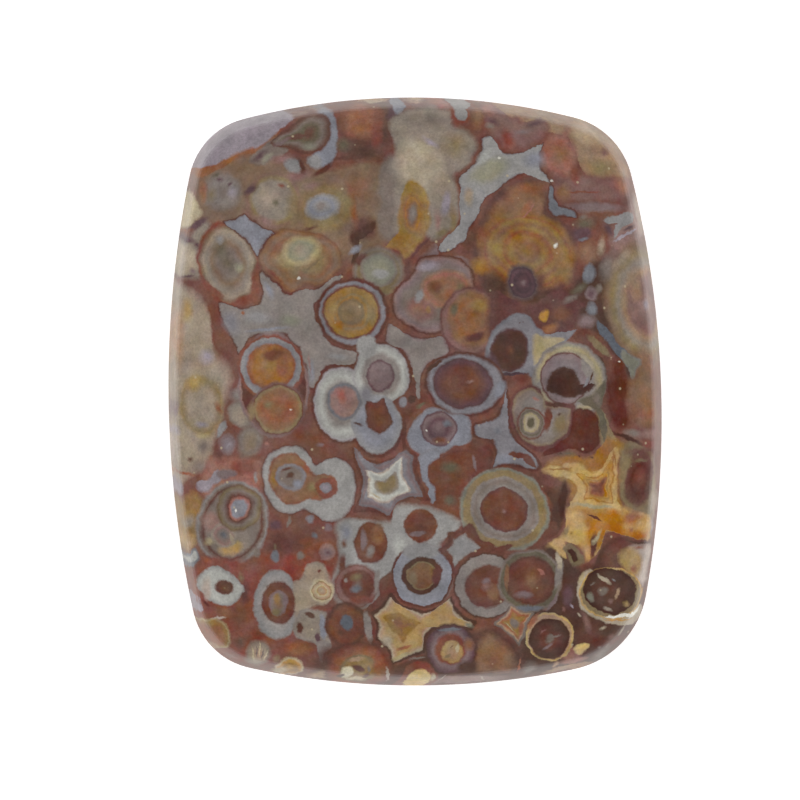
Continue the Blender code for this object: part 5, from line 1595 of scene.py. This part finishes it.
def dress_stone(stone, size, look, groups, whole):
    """Give each face that looks up the material of its patch. The back keeps the one with every mark."""
    mesh = stone.data
    mesh.materials.clear()
    mesh.materials.append(whole)
    for row in range(PATCHES[1]):
        for column in range(PATCHES[0]):
            patch = patch_box(size, column, row)
            near = [group for group, box in groups if meet(box, patch)]
            mesh.materials.append(polished_palm_root_agate(look, near))
    for face in mesh.polygons:
        if face.normal.z > 0:
            column, row = (
                min(int((along / span + 0.5) * count), count - 1)
                for along, span, count in zip(face.center, (size.width, size.length), PATCHES)
            )
            face.material_index = 1 + row * PATCHES[0] + column


def agate_place(tree, look):
    """Where each point of the stone lies in the pattern, in mm: roots lean and wander through its depth."""
    local = add_node(tree, "ShaderNodeTexCoord").outputs["Object"]
    height = add_node(tree, "ShaderNodeSeparateXYZ", {}, {0: local}).outputs["Z"]
    under = add_node(
        tree, "ShaderNodeMath", {"operation": "SUBTRACT"}, {0: PATTERN_FLOOR, 1: height}
    ).outputs[0]
    drop = add_node(tree, "ShaderNodeMath", {"operation": "MAXIMUM"}, {0: under, 1: 0.0}).outputs[0]
    lean = add_node(
        tree, "ShaderNodeVectorMath", {"operation": "SCALE"},
        {0: (look.lean * LEAN_WAY[0], look.lean * LEAN_WAY[1], 0.0), "Scale": drop},
    ).outputs[0]
    noise = add_node(
        tree, "ShaderNodeTexNoise", {},
        {"Vector": local, "Scale": WANDERS_IN_A_MM / MM, "Detail": 5.0, "Roughness": 0.68},
    ).outputs["Color"]
    centred = add_node(
        tree, "ShaderNodeVectorMath", {"operation": "SUBTRACT"}, {0: noise, 1: (0.5, 0.5, 0.5)}
    ).outputs[0]
    # The noise seldom strays past a quarter from its middle, so it is scaled up by four. Roots also wander
    # more the deeper they run.
    reach = add_node(
        tree, "ShaderNodeMath", {"operation": "MULTIPLY_ADD"}, {0: drop, 1: DEEP_WANDER, 2: 4 * look.wander}
    ).outputs[0]
    wander = add_node(
        tree, "ShaderNodeVectorMath", {"operation": "SCALE"}, {0: centred, "Scale": reach}
    ).outputs[0]
    moved = local
    for shift in (lean, wander):
        moved = add_node(tree, "ShaderNodeVectorMath", {"operation": "ADD"}, {0: moved, 1: shift}).outputs[0]
    # A Mapping node hands on a point, which every gradient takes without a conversion of its own.
    flat = add_node(
        tree, "ShaderNodeMapping", {}, {"Vector": moved, "Scale": (1 / MM, 1 / MM, 0.0)}
    ).outputs[0]
    return local, flat


def clouded(tree, look, local, colour):
    """The stone's own unevenness: clouds of about 1 mm with finer ones in them, and a grain of 0.2 mm."""
    clouds = add_node(
        tree, "ShaderNodeTexNoise", {},
        {"Vector": local, "Scale": CLOUDS_IN_A_MM / MM, "Detail": 4.0, "Roughness": 0.62},
    ).outputs["Color"]
    grain = add_node(
        tree, "ShaderNodeTexNoise", {},
        {"Vector": local, "Scale": GRAINS_IN_A_MM / MM, "Detail": 2.0, "Roughness": 0.8},
    ).outputs["Fac"]
    first, second, third = add_node(tree, "ShaderNodeSeparateColor", {}, {0: clouds}).outputs
    swings = []
    for noise, span, middle in (
        (first, look.clouds, 1.0),
        (grain, look.grain, 1.0),
        (second, HUE_SWING, 0.5),
        (third, SATURATION_SWING, 1.0),
    ):
        swings.append(add_node(
            tree, "ShaderNodeMath", {"operation": "MULTIPLY_ADD"}, {0: noise, 1: span, 2: middle - span / 2}
        ).outputs[0])
    cloud_light, grain_light, hue, saturation = swings
    light = add_node(
        tree, "ShaderNodeMath", {"operation": "MULTIPLY"}, {0: cloud_light, 1: grain_light}
    ).outputs[0]
    return add_node(
        tree, "ShaderNodeHueSaturation", {},
        {"Hue": hue, "Saturation": saturation, "Value": light, "Color": colour},
    ).outputs[0]


def specked(tree, local, colour):
    """Pinholes that hold polishing powder: pale specks of about 0.1 mm, one in about 10 square mm."""
    cells = add_node(tree, "ShaderNodeTexVoronoi", {}, {"Vector": local, "Scale": SPECK_CELLS_IN_A_MM / MM})
    near = add_node(
        tree, "ShaderNodeMapRange", {},
        {
            "Value": cells.outputs["Distance"], "From Min": 0.035, "From Max": 0.08,
            "To Min": 0.75, "To Max": 0.0,
        },
    ).outputs[0]
    return add_node(
        tree, "ShaderNodeMix", {"data_type": "RGBA"},
        {"Factor": near, MIX_BELOW: colour, MIX_ABOVE: to_linear(PALETTE["cream"])},
    ).outputs[MIX_COLOUR]


def painted_edge_glow(tree, height, colour):
    """Painted light: the thin girdle is painted paler than the thick dome, as if light came through it."""
    share = add_node(
        tree, "ShaderNodeMapRange", {},
        {
            "Value": height, "From Min": PAINTED_GLOW_HEIGHTS[0], "From Max": PAINTED_GLOW_HEIGHTS[1],
            "To Min": 0.15, "To Max": 0.0,
        },
    ).outputs[0]
    return add_node(
        tree, "ShaderNodeMix", {"data_type": "RGBA"},
        {"Factor": share, MIX_BELOW: colour, MIX_ABOVE: to_linear(PALETTE["bone"])},
    ).outputs[MIX_COLOUR]


def polished_palm_root_agate(look, groups):
    """Petrified palm root, a chalcedony, sawn and ground, with its dome polished by cerium oxide.

    It has a glassy skin over soft colours. The girdle and the back are only lapped, so they look satin.
    """
    material = bpy.data.materials.new("polished palm root agate")
    material.use_nodes = True
    tree = material.node_tree
    surface = tree.nodes["Principled BSDF"]
    local, place = agate_place(tree, look)
    ground = add_node(tree, "ShaderNodeRGB")
    ground.outputs[0].default_value = to_linear(PALETTE["jasper"])
    colour = ground.outputs[0]
    for group in groups:
        layer = add_node(tree, "ShaderNodeGroup", {"node_tree": group}, {"Place": place, "Below": colour})
        colour = layer.outputs["Colour"]
    height = add_node(tree, "ShaderNodeSeparateXYZ", {}, {0: local}).outputs["Z"]
    colour = clouded(tree, look, local, colour)
    colour = specked(tree, local, colour)
    # Painted light: the girdle is painted paler to stand in for light coming through the thin edge.
    colour = painted_edge_glow(tree, height, colour)
    tree.links.new(colour, surface.inputs["Base Color"])
    finish = add_node(
        tree, "ShaderNodeMapRange", {},
        {
            "Value": height, "From Min": POLISHED_EDGE[0], "From Max": POLISHED_EDGE[1],
            "To Min": look.lapping, "To Max": look.polish,
        },
    ).outputs[0]
    tree.links.new(finish, surface.inputs["Roughness"])
    surface.inputs["IOR"].default_value = 1.54
    return material


def opal_acrylic(tent):
    """Opal acrylic sheet, lit from below: an even white that swallows shadows."""
    material = bpy.data.materials.new("opal acrylic")
    material.use_nodes = True
    surface = material.node_tree.nodes["Principled BSDF"]
    surface.inputs["Base Color"].default_value = (*tent.acrylic, 1.0)
    surface.inputs["Roughness"].default_value = 0.6
    surface.inputs["Emission Color"].default_value = (1.0, 1.0, 1.0, 1.0)
    surface.inputs["Emission Strength"].default_value = tent.glow
    return material


def tent_world(tent):
    """The tent's fabric: light walls that darken to the opening for the camera at its top."""
    world = bpy.data.worlds.new("light tent")
    world.use_nodes = True
    tree = world.node_tree
    direction = add_node(tree, "ShaderNodeTexCoord").outputs["Generated"]
    height = add_node(tree, "ShaderNodeSeparateXYZ", {}, {0: direction}).outputs["Z"]
    brightness = add_node(
        tree, "ShaderNodeMapRange", {"interpolation_type": "SMOOTHSTEP"},
        {"Value": height, "From Min": 0.05, "From Max": 0.6, "To Min": tent.walls, "To Max": tent.top},
    ).outputs[0]
    tree.links.new(brightness, tree.nodes["Background"].inputs["Strength"])
    tree.nodes["Background"].inputs["Color"].default_value = (1.0, 1.0, 1.0, 1.0)
    bpy.context.scene.world = world


def hang_softboxes(tent):
    """Two softboxes light the stone evenly. They are cross-polarised, so its polish doesn't mirror them."""
    for side in (-1, 1):
        data = bpy.data.lights.new("softbox", "AREA")
        data.energy = tent.softbox_power
        data.size = tent.softbox_size
        softbox = bpy.data.objects.new("softbox", data)
        across, along, height = tent.softbox_place
        softbox.location = (side * across, along, height)
        softbox.rotation_euler = softbox.location.to_track_quat("Z", "Y").to_euler()
        softbox.visible_glossy = False
        bpy.context.scene.collection.objects.link(softbox)


def aim_camera(tent):
    """The camera looks straight down, from so far that the dome hardly grows towards it."""
    data = bpy.data.cameras.new("photograph")
    data.lens = tent.lens
    camera = bpy.data.objects.new("photograph", data)
    camera.location = (*tent.aim, tent.frame_width * tent.lens / data.sensor_width)
    data.clip_start, data.clip_end = 0.01, 10.0
    bpy.context.scene.collection.objects.link(camera)
    bpy.context.scene.camera = camera


def stage_floor(material):
    """The white sheet under the stone, a gap too small to see below it, so that their faces don't meet."""
    bpy.ops.mesh.primitive_circle_add(
        vertices=96, radius=SHEET_RADIUS, fill_type="NGON", location=(0.0, 0.0, -SHEET_GAP)
    )
    floor = bpy.context.object
    floor.name = "acrylic_sheet"
    floor.data.materials.append(material)
    return floor


class AGATE_OT_cabochon(bpy.types.Operator):
    """Grind the cabochon and open the petrified roots on its dome"""

    bl_idname = "agate.cabochon"
    bl_label = "Grind Cabochon"

    def execute(self, context):
        scene = context.scene
        groups = pattern_groups()
        whole = polished_palm_root_agate(scene.agate_look, [group for group, box in groups])
        stone = grind_stone(scene.agate_stone, whole)
        dress_stone(stone, scene.agate_stone, scene.agate_look, groups, whole)
        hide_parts(NODE)
        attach(stone, BODY)
        return {"FINISHED"}


class AGATE_OT_light_tent(bpy.types.Operator):
    """Set up the white sheet, the light tent and the camera above it"""

    bl_idname = "agate.light_tent"
    bl_label = "Set Up Light Tent"

    def execute(self, context):
        tent = context.scene.agate_tent
        stage_floor(opal_acrylic(tent))
        tent_world(tent)
        hang_softboxes(tent)
        aim_camera(tent)
        context.scene.view_settings.view_transform = "Standard"
        return {"FINISHED"}


class AGATE_PT_panel(bpy.types.Panel):
    """The stone's settings and the steps that make it"""

    bl_label = "Palm Root Agate"
    bl_idname = "AGATE_PT_panel"
    bl_space_type = "VIEW_3D"
    bl_region_type = "UI"
    bl_category = "Agate"

    def draw(self, context):
        for group, operator in (
            ("agate_stone", None),
            ("agate_look", AGATE_OT_cabochon.bl_idname),
            ("agate_tent", AGATE_OT_light_tent.bl_idname),
        ):
            settings = getattr(context.scene, group)
            box = self.layout.box()
            for name in settings.__annotations__:
                box.prop(settings, name)
            if operator:
                box.operator(operator)


CLASSES = (
    StoneSettings,
    AgateSettings,
    TentSettings,
    AGATE_OT_cabochon,
    AGATE_OT_light_tent,
    AGATE_PT_panel,
)


def register():
    for kind in CLASSES:
        bpy.utils.register_class(kind)
    bpy.types.Scene.agate_stone = PointerProperty(type=StoneSettings)
    bpy.types.Scene.agate_look = PointerProperty(type=AgateSettings)
    bpy.types.Scene.agate_tent = PointerProperty(type=TentSettings)


def unregister():
    del bpy.types.Scene.agate_tent
    del bpy.types.Scene.agate_look
    del bpy.types.Scene.agate_stone
    for kind in reversed(CLASSES):
        bpy.utils.unregister_class(kind)


def main():
    register()
    bpy.ops.agate.cabochon()
    bpy.ops.agate.light_tent()


if __name__ == "__main__":
    main()
